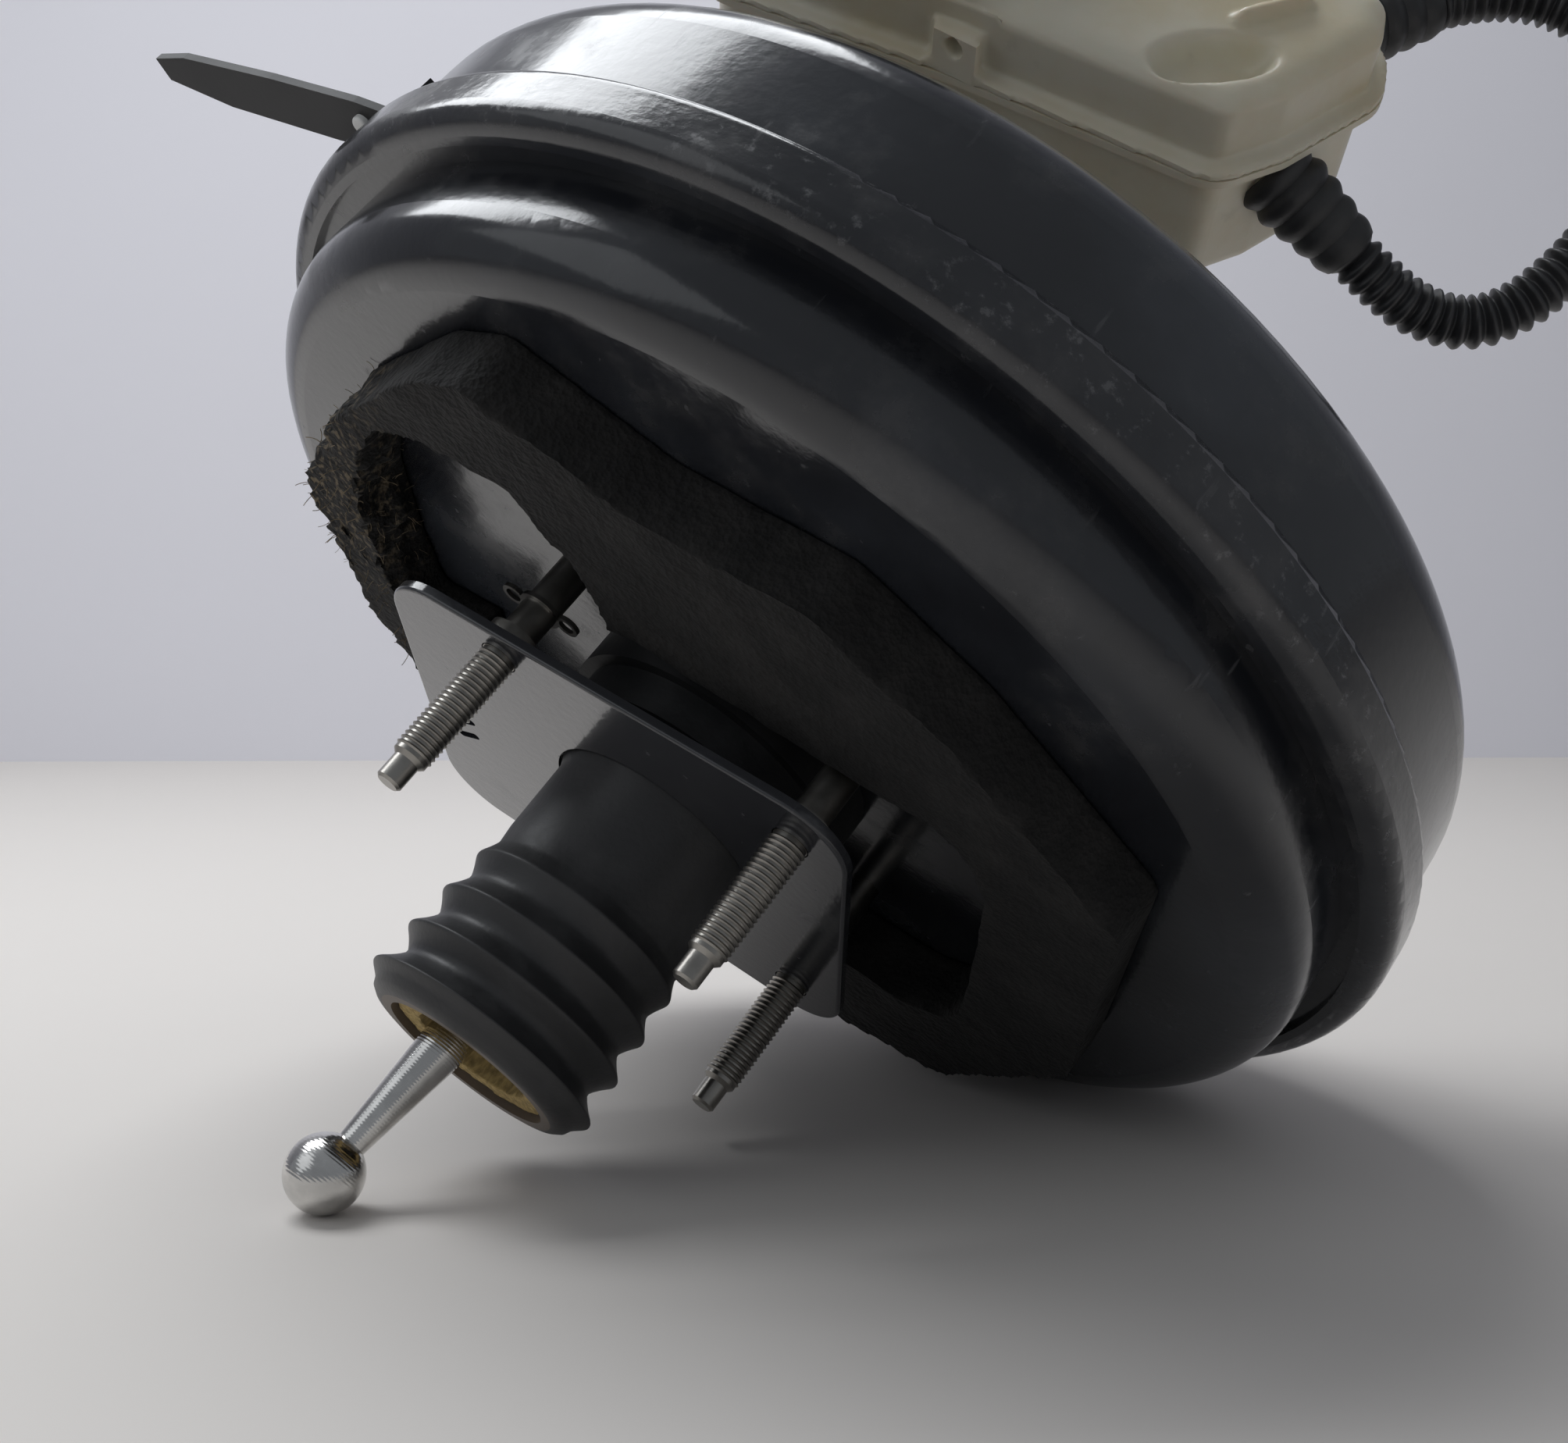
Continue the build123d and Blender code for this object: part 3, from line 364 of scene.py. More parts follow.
def moulded_plastic(name, colour, rough):
    """Plain moulded plastic with a fine grain."""
    f = Finish(name)
    shade = f.grain(45.0, 5.0)
    base = f.mix(shade.step(0.35, 0.7), tint(colour, 0.88), tint(colour, 1.1))
    f.bump(f.grain(800.0, 3.0), 0.12, 0.0003)
    return f.set(Base_Color=base, Roughness=rough + 0.15 * shade)


def cream_plastic(name, colour):
    """Thin translucent moulding, a little yellowed and dusty in patches."""
    f = Finish(name)
    age = f.grain(22.0, 5.0).step(0.38, 0.72)
    stain = f.grain(95.0, 7.0).step(0.62, 0.82)
    base = f.mix(age, tint(colour, 1.06), (colour[0] * 0.93, colour[1] * 0.87, colour[2] * 0.74))
    base = f.mix(stain * 0.4, base, tint(colour, 0.62))
    f.bump(f.grain(350.0, 3.0), 0.10, 0.0005)
    return f.set(Base_Color=base, Roughness=0.36 + 0.18 * stain, Subsurface_Weight=0.12,
                 Subsurface_Scale=0.004)


def open_foam(name, colour, torn):
    """Open-cell foam: pits, lumps, and tan fibres where the left edge is torn."""
    f = Finish(name)
    pits = f.cells(520.0)
    lumps = f.grain(95.0, 6.0)
    edge = (0.0 - f.along("X")).step(0.066, 0.102) * f.along("Z").step(-0.020, 0.030)
    fibres = f.stretched(700.0, (1.0, 0.45, 0.6)).step(0.50, 0.66)
    base = f.mix(lumps.step(0.4, 0.75), tint(colour, 0.7), tint(colour, 2.1))
    base = f.mix(edge * fibres * 0.42, base, torn)
    f.bump(pits + 0.5 * f.cells(1150.0) + 0.8 * lumps, 0.6, 0.0010)
    return f.set(Base_Color=base, Roughness=0.90 + 0.08 * lumps)


def felt(name, colour):
    """Matted hair with darker patches."""
    f = Finish(name)
    hair = f.stretched(900.0, (1.0, 0.4, 1.0))
    patch = f.grain(140.0, 5.0)
    base = f.mix(hair.step(0.3, 0.7), tint(colour, 0.62), tint(colour, 1.2))
    base = f.mix(patch.step(0.55, 0.8) * 0.5, base, tint(colour, 0.5))
    f.bump(hair + 0.5 * patch, 0.8, 0.0006)
    return f.set(Base_Color=base, Roughness=0.95)


def torn_fibre(name, colour):
    """Dry fibres, from dark to the full colour."""
    f = Finish(name)
    shade = f.grain(700.0, 4.0)
    return f.set(Base_Color=f.mix(shade.step(0.3, 0.7), tint(colour, 0.35), colour), Roughness=0.9)


def finishes():
    """Every finish of the part by its record slot, made once."""
    c = bpy.context.scene.booster_colours
    if "shell_black" not in LIBRARY:
        shell_paint("shell_black", tuple(c.paint))
        gloss_paint("plate_black", tuple(c.plate), 0.14)
        moulded_plastic("strap_black", (0.010, 0.010, 0.011), 0.55)
        plated("zinc_steel", tuple(c.zinc), 0.24, 0.42)
        plated("rod_steel", tuple(c.steel), 0.10, 0.24, 0.5)
        plated("spring_steel", tint(c.zinc, 0.8), 0.22, 0.36)
        plated("cast_aluminium", (0.64, 0.65, 0.66), 0.38, 0.6)
        moulded_rubber("rubber_black", tuple(c.rubber))
        moulded_plastic("plastic_black", (0.026, 0.026, 0.028), 0.40)
        moulded_plastic("conduit_black", (0.024, 0.024, 0.026), 0.34)
        moulded_plastic("clip_white", (0.80, 0.80, 0.78), 0.38)
        moulded_plastic("phenolic", (0.11, 0.085, 0.065), 0.42)
        cream_plastic("reservoir_cream", tuple(c.cream))
        open_foam("foam_black", tuple(c.foam), tuple(c.foam_tan))
        torn_fibre("torn_fibre", tuple(c.foam_tan))
        felt("felt_tan", tuple(c.felt))
    return LIBRARY


def new_piece(name, mesh, slot):
    """A new object in the scene with the finish of its slot."""
    piece = bpy.data.objects.new(name, mesh)
    bpy.context.scene.collection.objects.link(piece)
    mesh.materials.clear()
    mesh.materials.append(finishes()[slot])
    return piece


def smooth(mesh, angle=0.7):
    for face in mesh.polygons:
        face.use_smooth = True
    mesh.set_sharp_from_angle(angle=angle)


def baked(piece):
    """The piece's evaluated shape as a plain mesh, its modifiers removed."""
    graph = bpy.context.evaluated_depsgraph_get()
    mesh = bpy.data.meshes.new_from_object(piece.evaluated_get(graph))
    piece.modifiers.clear()
    piece.data = mesh
    return piece


def merged_copy(node, name, slot):
    """A new piece on a merged copy of a CAD node's mesh."""
    source = frame["nodes"][node]
    mesh = source.data.copy()
    mesh.transform(source.matrix_world)
    bm = bmesh.new()
    bm.from_mesh(mesh)
    bmesh.ops.remove_doubles(bm, verts=bm.verts, dist=1e-6)
    bm.to_mesh(mesh)
    bm.free()
    mesh.name = name
    return new_piece(name, mesh, slot)


def remeshed(piece, voxel):
    """The piece with an even mesh of small faces."""
    step = piece.modifiers.new("voxels", "REMESH")
    step.mode = "VOXEL"
    step.voxel_size = voxel
    return baked(piece)


def lathe(name, profile, origin, axis, slot, turns=72):
    """A closed turned piece: profile is (radius, distance along axis), outside first, in metres."""
    axis = Vector(axis).normalized()
    side = axis.orthogonal().normalized()
    over = axis.cross(side)
    bm = bmesh.new()
    rings = []
    for radius, along in profile:
        ring = []
        for turn in range(turns):
            angle = 2 * pi * turn / turns
            spot = Vector(origin) + along * axis + radius * (cos(angle) * side + sin(angle) * over)
            ring.append(bm.verts.new(spot))
        rings.append(ring)
    for first, second in zip(rings, rings[1:] + rings[:1]):
        for turn in range(turns):
            after = (turn + 1) % turns
            bm.faces.new((first[turn], first[after], second[after], second[turn]))
    bmesh.ops.recalc_face_normals(bm, faces=bm.faces)
    mesh = bpy.data.meshes.new(name)
    bm.to_mesh(mesh)
    bm.free()
    smooth(mesh)
    return new_piece(name, mesh, slot)


class BOOSTER_OT_finishes(bpy.types.Operator):
    """Give every CAD node the finish of its record slot"""
    bl_idname = "booster.finishes"
    bl_label = "Finishes"

    def execute(self, context):
        library = finishes()
        for entry in frame["record"]["subparts"]:
            mesh = frame["nodes"][entry["node"]].data
            mesh.materials.clear()
            mesh.materials.append(library[entry["material_slot"]])
        return {"FINISHED"}


class PieceTree:
    """One Geometry Nodes tree with named inputs, which ends in real faces of one finish."""

    def __init__(self, name, inputs):
        self.tree = bpy.data.node_groups.new(name, "GeometryNodeTree")
        for label, kind in inputs.items():
            self.tree.interface.new_socket(label, in_out="INPUT", socket_type="NodeSocket" + kind)
        self.tree.interface.new_socket("Geometry", in_out="OUTPUT", socket_type="NodeSocketGeometry")
        given = self.tree.nodes.new("NodeGroupInput")
        self.given = {label: given.outputs[label] for label in inputs}

    def node(self, kind, settings, values, output=0):
        made = self.tree.nodes.new(kind)
        for key, value in settings.items():
            setattr(made, key, value)
        for key, value in values.items():
            if isinstance(value, bpy.types.NodeSocket):
                self.tree.links.new(value, made.inputs[key])
            else:
                made.inputs[key].default_value = value
        return made.outputs[output]

    def sum(self, operation, first, second):
        return self.node("ShaderNodeMath", {"operation": operation}, {0: first, 1: second})

    def close(self, instances):
        """Ends the tree in real faces with the finish that it is given."""
        real = self.node("GeometryNodeRealizeInstances", {}, {"Geometry": instances})
        painted = self.node("GeometryNodeSetMaterial", {},
                            {"Geometry": real, "Material": self.given["Finish"]})
        result = self.tree.nodes.new("NodeGroupOutput")
        self.tree.links.new(painted, result.inputs["Geometry"])

    def make(self, piece, values):
        """Runs the tree on the piece and leaves a plain mesh."""
        step = piece.modifiers.new(self.tree.name, "NODES")
        step.node_group = self.tree
        for item in self.tree.interface.items_tree:
            if item.in_out == "INPUT" and item.name in values:
                step[item.identifier] = values[item.name]
        return baked(piece)


def prism(name, outline, low, high):
    """A closed block over an outline of (x, z) points, between two heights along the booster's axis."""
    bm = bmesh.new()
    ends = [[bm.verts.new((x, y, z)) for x, z in outline] for y in (low, high)]
    for end in ends:
        bm.faces.new(end)
    for index in range(len(outline)):
        after = (index + 1) % len(outline)
        bm.faces.new((ends[0][index], ends[0][after], ends[1][after], ends[1][index]))
    bmesh.ops.recalc_face_normals(bm, faces=bm.faces)
    mesh = bpy.data.meshes.new(name)
    bm.to_mesh(mesh)
    bm.free()
    return mesh


class BOOSTER_OT_foam(bpy.types.Operator):
    """Crumbly foam ring in place of the plain gasket, torn at its left"""
    bl_idname = "booster.foam"
    bl_label = "Foam gasket"

    def execute(self, context):
        height = context.scene.booster_sizes.foam_roughness
        low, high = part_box("foam_gasket")
        spare = 0.01
        block = prism("pocket", FOAM_POCKET, low[1] - spare, high[1] + spare)
        cutter = bpy.data.objects.new("pocket", block)
        context.scene.collection.objects.link(cutter)
        ring = merged_copy("foam_gasket", "foam_ring", "foam_black")
        cut = ring.modifiers.new("pocket", "BOOLEAN")
        cut.operation = "DIFFERENCE"
        cut.object = cutter
        baked(ring)
        bpy.data.objects.remove(cutter)
        mesh = remeshed(ring, 0.0015).data
        flat_depth = 0.006
        torn_from, torn_width, bite_depth = 0.075, 0.025, 0.006
        lump_scale, bite_scale = 60.0, 170.0
        for vertex in mesh.vertices:
            spot = vertex.co
            off = max(0.0, min(1.0, (high[1] - spot.y) / flat_depth))
            lump = noise.fractal(spot * lump_scale, 0.9, 2.1, 4)
            torn = max(0.0, min(1.0, (-spot.x - torn_from) / torn_width))
            bite = abs(noise.noise(spot * bite_scale)) * torn
            inward = Vector((-spot.x, 0.0, -spot.z)).normalized()
            swell = height * (lump * 0.5 - 0.35) * off
            vertex.co = spot + vertex.normal * swell + inward * (bite_depth * bite * off)
        smooth(mesh, 1.2)
        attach(ring, "housing")
        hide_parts("foam_gasket")
        self.fray(context, mesh)
        return {"FINISHED"}

    def fray(self, context, foam):
        """Short bent fibres on the torn edge."""
        tree = PieceTree("torn_fibres", {"Geometry": "Geometry", "Density": "Float", "Length": "Float",
                                         "Thickness": "Float", "Reach": "Float", "Finish": "Material"})
        given = tree.given
        spot = tree.node("GeometryNodeInputPosition", {}, {})
        across = tree.node("ShaderNodeSeparateXYZ", {}, {0: spot}, "X")
        torn = tree.node("FunctionNodeCompare", {"operation": "LESS_THAN"}, {0: across, 1: given["Reach"]})
        spread = {"Mesh": given["Geometry"], "Selection": torn, "Density": given["Density"], "Seed": 7}
        points = tree.node("GeometryNodeDistributePointsOnFaces", {}, spread)
        length = given["Length"]
        bent = tree.node("ShaderNodeCombineXYZ", {},
                         {0: tree.sum("MULTIPLY", length, 0.45), 2: tree.sum("MULTIPLY", length, 0.35)})
        tip = tree.node("ShaderNodeCombineXYZ", {}, {0: tree.sum("MULTIPLY", length, 0.50), 2: length})
        arc = tree.node("GeometryNodeCurveQuadraticBezier", {},
                        {"Resolution": 4, "Start": (0.0, 0.0, 0.0), "Middle": bent, "End": tip})
        section = tree.node("GeometryNodeCurvePrimitiveCircle", {},
                            {"Resolution": 4, "Radius": given["Thickness"]})
        fibre = tree.node("GeometryNodeCurveToMesh", {},
                          {"Curve": arc, "Profile Curve": section, "Fill Caps": True})
        lean = tree.node("FunctionNodeRandomValue", {"data_type": "FLOAT_VECTOR"},
                         {0: (-0.9, -0.9, -3.1), 1: (0.9, 0.9, 3.1), "Seed": 11})
        turned = tree.node("FunctionNodeRotateRotation", {"rotation_space": "LOCAL"},
                           {0: points.node.outputs["Rotation"], 1: lean})
        grown = tree.node("FunctionNodeRandomValue", {"data_type": "FLOAT"}, {2: 0.35, 3: 1.0, "Seed": 3}, 1)
        strands = tree.node("GeometryNodeInstanceOnPoints", {},
                            {"Points": points, "Instance": fibre, "Rotation": turned, "Scale": grown})
        tree.close(strands)
        fibres = bpy.data.objects.new("torn_fibres", foam.copy())
        context.scene.collection.objects.link(fibres)
        tree.make(fibres, {"Density": 60000.0, "Length": 0.0032, "Thickness": 0.00010, "Reach": -0.090,
                           "Finish": finishes()["torn_fibre"]})
        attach(fibres, "housing")


class BOOSTER_OT_gaiter(bpy.types.Operator):
    """Rubber gaiter with rounded folds"""
    bl_idname = "booster.gaiter"
    bl_label = "Gaiter"

    def execute(self, context):
        wall, bore_r = 0.0016, 0.0226
        sleeve_r, trough = 0.0251, 0.0243
        first_crest, last_crest = 0.0265, 0.0290
        folds, steps = 4, 14
        start, end = -0.0240, -0.0660
        pitch = (start - end) / folds
        outer = [(sleeve_r + 0.0009, 0.0020), (sleeve_r + 0.0010, 0.0006), (sleeve_r, -0.0014),
                 (sleeve_r - 0.0002, -0.0200)]
        for fold in range(folds):
            crest = first_crest + (last_crest - first_crest) * fold / (folds - 1)
            for step in range(steps):
                share = (step + 0.5) / steps
                wave = 0.5 - 0.5 * cos(2 * pi * share)
                lean = share + 0.10 * sin(2 * pi * share)
                outer.append((trough + (crest - trough) * wave**0.6, start - (fold + lean) * pitch))
        inner = [(max(radius - wall, bore_r), along) for radius, along in reversed(outer)]
        lip = [(0.0258, -0.0646), (0.0243, -0.0656), (0.0225, -0.0660), (0.0208, -0.0658), (0.0202, -0.0651),
               (0.0206, -0.0645), (0.0222, -0.0642)]
        gaiter = lathe("gaiter", outer[:-2] + lip + inner[2:], (0, 0, 0), (0, 1, 0), "rubber_black", 96)
        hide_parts("bellows_boot")
        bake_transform(gaiter)
        return {"FINISHED"}


class BOOSTER_OT_filter(bpy.types.Operator):
    """Felt filter ring with a hairy face"""
    bl_idname = "booster.filter"
    bl_label = "Air filter"

    def execute(self, context):
        ring = remeshed(merged_copy("air_filter", "felt_ring", "felt_tan"), 0.0006)
        nap = 0.0005
        for vertex in ring.data.vertices:
            tuft = 0.5 + 0.5 * noise.fractal(vertex.co * 500.0, 0.8, 2.0, 3)
            vertex.co = vertex.co - vertex.normal * nap * tuft
        smooth(ring.data, 1.2)
        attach(ring, "power_piston")
        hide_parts("air_filter")
        return {"FINISHED"}


def thread_tree():
    """Slanted rings in a row along -Y from each stud's root."""
    tree = PieceTree("stud_thread", {"Geometry": "Geometry", "Core radius": "Float", "Height": "Float",
                                     "Pitch": "Float", "Length": "Float", "Finish": "Material"})
    given = tree.given
    ring = tree.node("GeometryNodeCurvePrimitiveCircle", {},
                     {"Resolution": 40, "Radius": given["Core radius"]})
    section = tree.node("GeometryNodeCurvePrimitiveCircle", {}, {"Resolution": 4, "Radius": given["Height"]})
    turn = tree.node("GeometryNodeCurveToMesh", {}, {"Curve": ring, "Profile Curve": section})
    count = tree.sum("DIVIDE", given["Length"], given["Pitch"])
    offset = tree.node("ShaderNodeCombineXYZ", {}, {"Y": tree.sum("MULTIPLY", given["Pitch"], -1.0)})
    line = tree.node("GeometryNodeMeshLine", {}, {"Count": count, "Offset": offset})
    rows = tree.node("GeometryNodeInstanceOnPoints", {},
                     {"Points": line, "Instance": turn, "Rotation": (pi / 2 + THREAD_SLANT, 0.0, 0.0)})
    studs = tree.node("GeometryNodeInstanceOnPoints", {}, {"Points": given["Geometry"], "Instance": rows})
    tree.close(studs)
    return tree


class BOOSTER_OT_threads(bpy.types.Operator):
    """Thread turns on the four wall studs"""
    bl_idname = "booster.threads"
    bl_label = "Stud threads"

    def execute(self, context):
        sizes = context.scene.booster_sizes
        mesh = bpy.data.meshes.new("stud_threads")
        spots = [(sx * STUD_X, THREAD_FROM, sz * STUD_Z) for sx in (-1, 1) for sz in (-1, 1)]
        mesh.from_pydata(spots, [], [])
        threads = bpy.data.objects.new("stud_threads", mesh)
        context.scene.collection.objects.link(threads)
        thread_tree().make(threads, {
            "Core radius": STUD_R, "Height": sizes.thread_depth * 1.4, "Pitch": sizes.thread_pitch,
            "Length": THREAD_LEN, "Finish": finishes()["zinc_steel"]})
        smooth(threads.data)
        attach(threads, "housing")
        return {"FINISHED"}


class BOOSTER_OT_conduit(bpy.types.Operator):
    """Corrugated conduit that loops from one reservoir stub to the other"""
    bl_idname = "booster.conduit"
    bl_label = "Conduit"

    def execute(self, context):
        sizes = context.scene.booster_sizes
        curve = bpy.data.curves.new("conduit_route", "CURVE")
        curve.dimensions = "3D"
        curve.resolution_u = 44
        spline = curve.splines.new("NURBS")
        spline.points.add(len(CONDUIT_ROUTE) - 1)
        for point, spot in zip(spline.points, CONDUIT_ROUTE):
            point.co = (*spot, 1.0)
        spline.order_u = 3
        spline.use_endpoint_u = True
        route = bpy.data.objects.new("conduit_route", curve)
        context.scene.collection.objects.link(route)
        graph = context.evaluated_depsgraph_get()
        line = bpy.data.meshes.new_from_object(route.evaluated_get(graph))
        path = [vertex.co.copy() for vertex in line.vertices]
        bpy.data.objects.remove(route)
        bpy.data.meshes.remove(line)
        radius = 0.00625
        turns = 24
        bm = bmesh.new()
        rings = []
        travelled = 0.0
        side = SENSOR_AXIS.orthogonal().normalized()
        for index, spot in enumerate(path):
            ahead = path[min(index + 1, len(path) - 1)] - path[max(index - 1, 0)]
            ahead.normalize()
            side = (side - side.dot(ahead) * ahead).normalized()
            over = ahead.cross(side)
            if index:
                travelled += (spot - path[index - 1]).length
            wave = 0.5 + 0.5 * cos(2 * pi * travelled / sizes.conduit_pitch)
            r = radius - sizes.conduit_groove * (1.0 - wave**0.75)
            ring = [bm.verts.new(spot + r * (cos(2 * pi * t / turns) * side + sin(2 * pi * t / turns) * over))
                    for t in range(turns)]
            rings.append(ring)
        for first, second in zip(rings, rings[1:]):
            for t in range(turns):
                bm.faces.new((first[t], first[(t + 1) % turns], second[(t + 1) % turns], second[t]))
        bm.faces.new(rings[0])
        bm.faces.new(rings[-1])
        bmesh.ops.recalc_face_normals(bm, faces=bm.faces)
        mesh = bpy.data.meshes.new("conduit")
        bm.to_mesh(mesh)
        bm.free()
        smooth(mesh, 1.2)
        conduit = new_piece("conduit", mesh, "conduit_black")
        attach(conduit, "housing")
        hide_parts("sensor_conduit")
        return {"FINISHED"}


class BOOSTER_OT_boots(bpy.types.Operator):
    """Ridged boots on the two reservoir stubs"""
    bl_idname = "booster.boots"
    bl_label = "Conduit boots"

    def execute(self, context):
        ridges, steps = 5, 12
        over_stub, bore_r = 0.010, 0.0004
        root_r, ridge_h, taper_from = 0.0081, 0.0012, 0.35
        pitch = (BOOT_LEN + over_stub) / ridges
        for name, node, stub, axis in (("sensor_boot_ridged", "sensor_boot", SENSOR_STUB, SENSOR_AXIS),
                                       ("return_boot_ridged", "return_boot", RETURN_STUB, RETURN_AXIS)):
            profile = [(bore_r, -over_stub)]
            for step in range(ridges * steps + 1):
                share = step / steps
                wave = 0.5 - 0.5 * cos(2 * pi * share)
                taper = max(0.0, share / ridges - taper_from) / (1 - taper_from)
                root = root_r - 0.0015 * taper
                ridge = (ridge_h - 0.0006 * taper) * wave**0.55
                profile.append((root + ridge, share * pitch - over_stub))
            profile.append((bore_r, BOOT_LEN))
            boot = lathe(name, profile, stub + STUB_LEN * axis, axis, "rubber_black", 56)
            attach(boot, "housing")
            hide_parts(node)
        return {"FINISHED"}


def floor_normal():
    """Up direction of the floor that touches the rod's ball and the shells, level in the camera's view."""
    shells = []
    for node in ("front_shell", "rear_shell"):
        vertices = frame["nodes"][node].data.vertices
        spots = np.empty(3 * len(vertices))
        vertices.foreach_get("co", spots)
        shells.append(spots.reshape(-1, 3))
    spots = np.concatenate(shells)
    low, high = 0.55, 0.78
    for _ in range(40):
        ny = (low + high) / 2
        nx = -VIEW_RIGHT[1] * ny / VIEW_RIGHT[0]
        up = Vector((nx, ny, sqrt(1 - nx * nx - ny * ny)))
        gap = float((spots @ np.array(up)).min()) - (up.dot(BALL_CENTRE) - BALL_R)
        low, high = (low, ny) if gap > 0 else (ny, high)
    return up


def pale(name, colour):
    """Pale stage finish, clear from behind so that a low view still sees the part."""
    f = Finish(name)
    cloud = f.grain(3.0, 3.0)
    f.set(Base_Color=f.mix(cloud, tint(colour, 0.97), tint(colour, 1.02)), Roughness=0.75)
    behind = f.node("ShaderNodeNewGeometry", {}, {}, "Backfacing")
    clear = f.node("ShaderNodeBsdfTransparent", {}, {})
    front = Term(f, f.shader.outputs[0])
    either = f.node("ShaderNodeMixShader", {}, {0: behind, 1: front, 2: clear})
    f.put(f.tree.nodes["Material Output"].inputs["Surface"], either)
    return f.material


class BOOSTER_OT_springs(bpy.types.Operator):
    """Spring coils, each a smoothed merged copy of its CAD spring"""
    bl_idname = "booster.springs"
    bl_label = "Springs"

    def execute(self, context):
        for node, moving in (("return_spring", "power_piston"), ("secondary_spring", "second_piston")):
            coil = merged_copy(node, node + "_coil", "spring_steel")
            smooth(coil.data)
            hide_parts(node)
            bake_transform(coil)
        return {"FINISHED"}


def ramp(value, low, high):
    """0 at low, 1 at high, smooth between."""
    share = max(0.0, min(1.0, (value - low) / (high - low)))
    return share * share * (3 - 2 * share)


def turned_place(x, y, middle, way):
    """Distances from a middle along a direction and across it."""
    across, up = x - middle[0], y - middle[1]
    return across * way[0] + up * way[1], up * way[0] - across * way[1]


class BOOSTER_OT_reservoir(bpy.types.Operator):
    """Upper half of the reservoir, with a low deck that rises round the filler, a scoop and a rib"""
    bl_idname = "booster.reservoir"
    bl_label = "Reservoir top"

    def execute(self, context):
        deck = context.scene.booster_sizes.deck_height
        low_share = deck / UPPER_H
        tab_share = (deck - TAB_H) / (UPPER_H - TAB_H)
        top = remeshed(merged_copy("reservoir_upper", "reservoir_top", "reservoir_cream"), 0.0011)
        for vertex in top.data.vertices:
            x, y, z = vertex.co
            above = z - SEAM_Z - LIP_T
            if above <= 0:
                continue
            dome = 1 - ramp(sqrt((x - FILLER[0])**2 + (y - FILLER[1])**2), *DOME_R)
            height = above * (low_share + (1 - low_share) * dome)
            if abs(x - TAB[0]) < TAB_HALF and y < TAB[1]:
                height = above if above < TAB_H else TAB_H + (above - TAB_H) * tab_share
            along, over = turned_place(x, y, SCOOP, SCOOP_WAY)
            bowl = max(0.0, 1 - (along / SCOOP_HALF[0])**2 - (over / SCOOP_HALF[1])**2)
            height -= SCOOP_DEPTH * ramp(bowl, 0.0, 0.8) * ramp(above, 0.014, 0.028)
            along, over = turned_place(x, y, RIB, RIB_WAY)
            rib = ramp(0.0022 - abs(over), 0.0, 0.0014) * ramp(0.010 - abs(along), 0.0, 0.003)
            height += RIB_H * rib * ramp(above, 0.024, 0.030)
            vertex.co = (x, y, SEAM_Z + LIP_T + height)
        smooth(top.data, 0.9)
        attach(top, "housing")
        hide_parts("reservoir_upper")
        return {"FINISHED"}


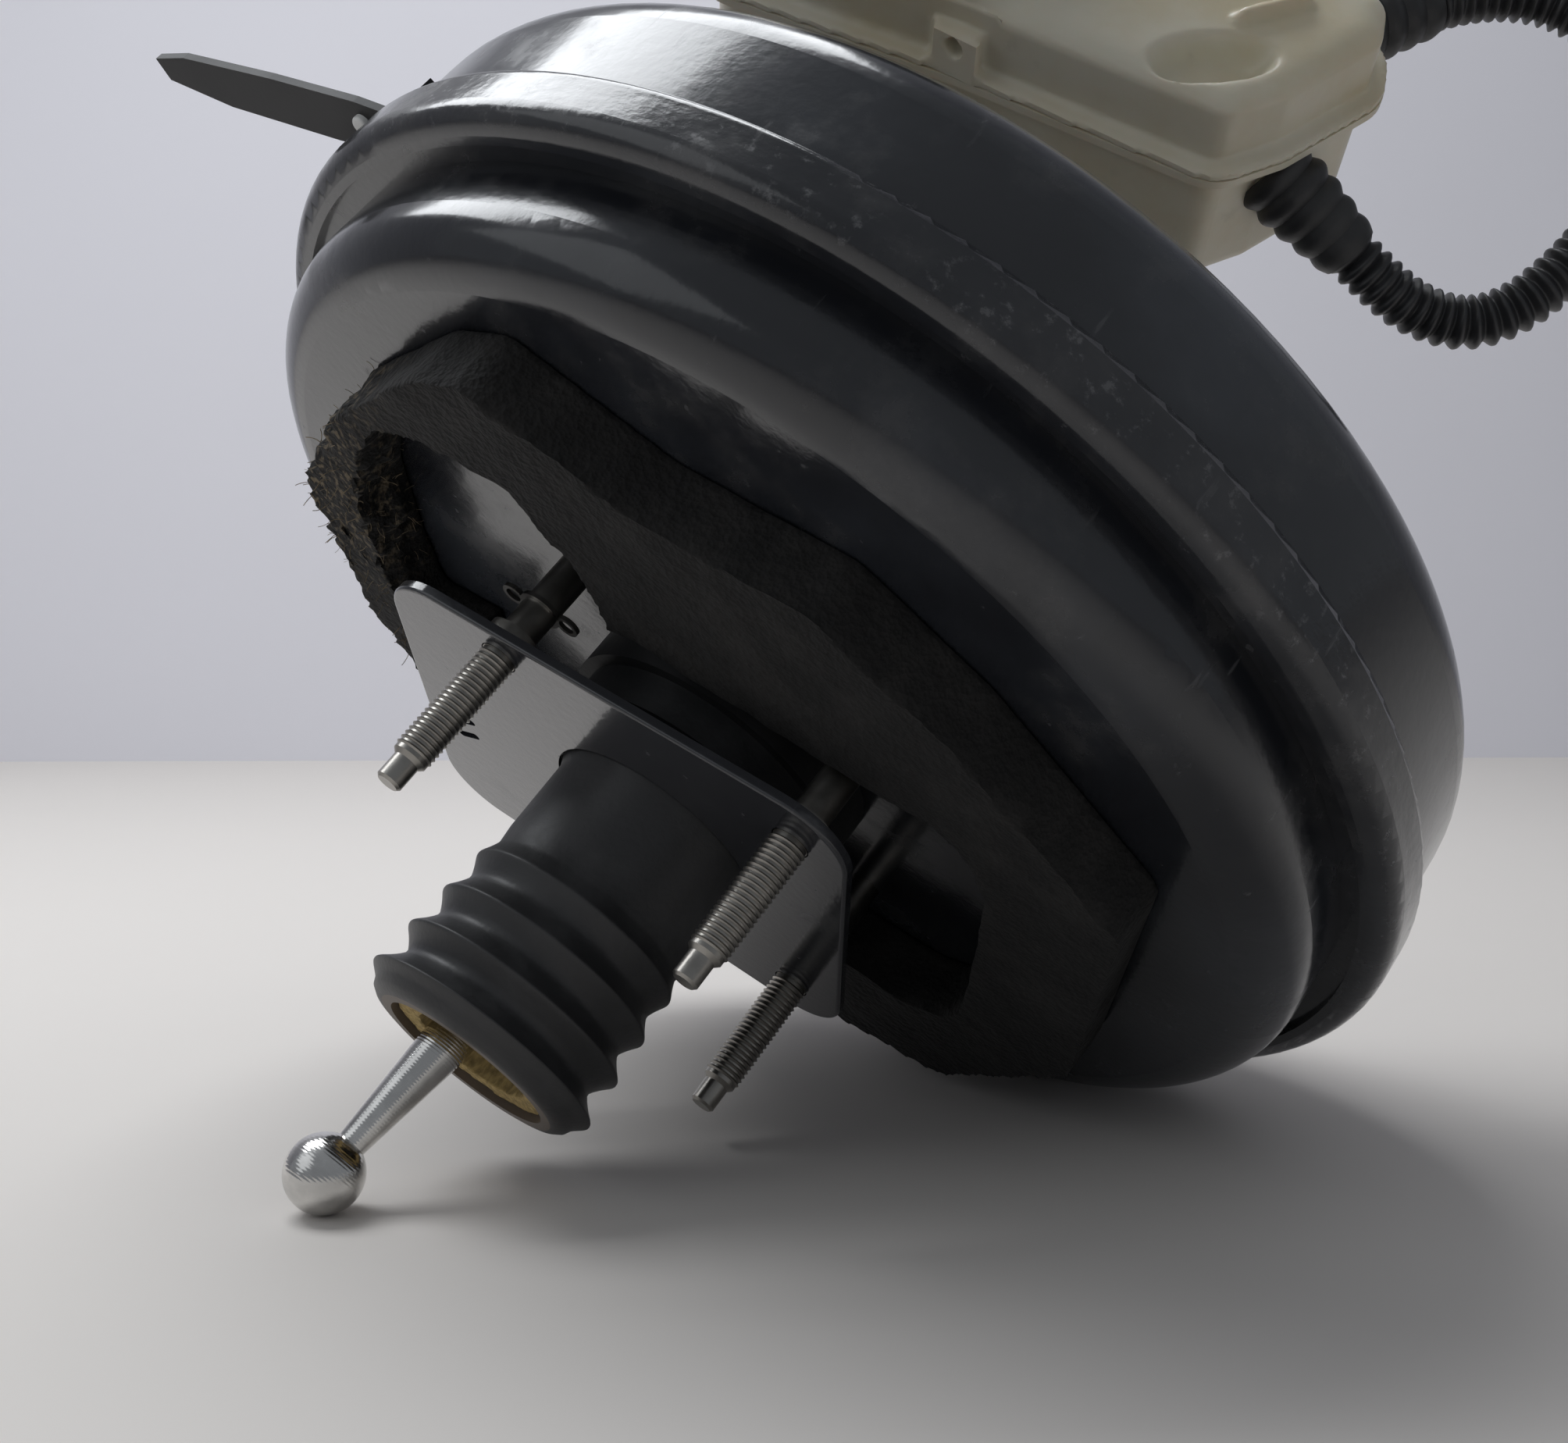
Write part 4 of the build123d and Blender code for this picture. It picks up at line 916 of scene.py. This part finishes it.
class BOOSTER_OT_stage(bpy.types.Operator):
    """Pale table and wall, soft lamps and the camera"""
    bl_idname = "booster.stage"
    bl_label = "Stage"

    def execute(self, context):
        scene = context.scene
        colours = scene.booster_colours
        up = floor_normal()
        level = up.dot(BALL_CENTRE) - BALL_R
        right = (Vector(VIEW_RIGHT) - Vector(VIEW_RIGHT).dot(up) * up).normalized()
        away = up.cross(right)
        eye = Vector(VIEW_FROM)
        foot = eye - (up.dot(eye) - level) * up
        far, reach = 1.33, 6

        def sheet(name, corners, finish):
            mesh = bpy.data.meshes.new(name)
            mesh.from_pydata([tuple(c) for c in corners], [], [(0, 1, 2, 3)])
            piece = bpy.data.objects.new(name, mesh)
            mesh.materials.append(finish)
            scene.collection.objects.link(piece)

        near_l = foot - reach * right - reach * away
        near_r = foot + reach * right - reach * away
        far_r = foot + reach * right + far * away
        far_l = foot - reach * right + far * away
        top_r, top_l = far_r + reach * up, far_l + reach * up
        sheet("table", (near_l, near_r, far_r, far_l), pale("table_pale", tuple(colours.floor)))
        sheet("wall", (far_l, far_r, top_r, top_l), pale("wall_pale", tuple(colours.wall)))

        aim = Vector((0.0, 0.06, 0.02))
        for name, place, size, power in (
            ("window", aim + 0.95 * up - 0.36 * right + 0.30 * away, (1.05, 0.5), 10.5),
            ("fill", aim + 0.9 * up - 1.2 * right - 0.7 * away, (1.2, 1.2), 2.6),
        ):
            lamp = bpy.data.lights.new(name, "AREA")
            lamp.shape = "RECTANGLE"
            lamp.size = size[0]
            lamp.size_y = size[1]
            lamp.energy = power
            lamp.color = (0.94, 0.97, 1.0)
            lit = bpy.data.objects.new(name, lamp)
            lit.location = place
            ahead = (place - aim).normalized()
            side = (right - right.dot(ahead) * ahead).normalized()
            lit.rotation_euler = Matrix((side, ahead.cross(side), ahead)).transposed().to_euler()
            scene.collection.objects.link(lit)
        world = bpy.data.worlds.new("room")
        world.use_nodes = True
        glow = world.node_tree.nodes["Background"]
        glow.inputs["Color"].default_value = (0.88, 0.93, 1.0, 1.0)
        glow.inputs["Strength"].default_value = 0.26
        scene.world = world
        scene.view_settings.view_transform = "Standard"

        lens = bpy.data.cameras.new("view")
        lens.sensor_fit = "HORIZONTAL"
        lens.sensor_width = SENSOR_MM
        lens.lens = VIEW_FOCAL / IMAGE_WIDTH * SENSOR_MM
        lens.clip_start = 0.01
        camera = bpy.data.objects.new("view", lens)
        x, y, z = Vector(VIEW_RIGHT), -Vector(VIEW_DOWN), -Vector(VIEW_AHEAD)
        turn = Matrix((x, y, z)).transposed().to_4x4()
        camera.matrix_world = Matrix.Translation(eye) @ turn
        scene.collection.objects.link(camera)
        scene.camera = camera
        return {"FINISHED"}


class BOOSTER_PT_panel(bpy.types.Panel):
    """Sizes, colours and the building steps"""
    bl_idname = "BOOSTER_PT_panel"
    bl_label = "Brake booster"
    bl_space_type = "VIEW_3D"
    bl_region_type = "UI"
    bl_category = "Booster"

    def draw(self, context):
        layout = self.layout
        for group in (context.scene.booster_sizes, context.scene.booster_colours):
            for name in group.__annotations__:
                layout.prop(group, name)
        for step in STEPS:
            layout.operator(step.bl_idname)


STEPS = (
    BOOSTER_OT_finishes,
    BOOSTER_OT_foam,
    BOOSTER_OT_gaiter,
    BOOSTER_OT_filter,
    BOOSTER_OT_threads,
    BOOSTER_OT_conduit,
    BOOSTER_OT_boots,
    BOOSTER_OT_reservoir,
    BOOSTER_OT_springs,
    BOOSTER_OT_stage,
)
CLASSES = (BoosterSizes, BoosterColours, *STEPS, BOOSTER_PT_panel)


def register():
    for cls in CLASSES:
        bpy.utils.register_class(cls)
    bpy.types.Scene.booster_sizes = bpy.props.PointerProperty(type=BoosterSizes)
    bpy.types.Scene.booster_colours = bpy.props.PointerProperty(type=BoosterColours)


def unregister():
    del bpy.types.Scene.booster_colours
    del bpy.types.Scene.booster_sizes
    for cls in reversed(CLASSES):
        bpy.utils.unregister_class(cls)


def main():
    register()
    for step in STEPS:
        group, name = step.bl_idname.split(".")
        getattr(getattr(bpy.ops, group), name)()


if __name__ == "__main__":
    main()
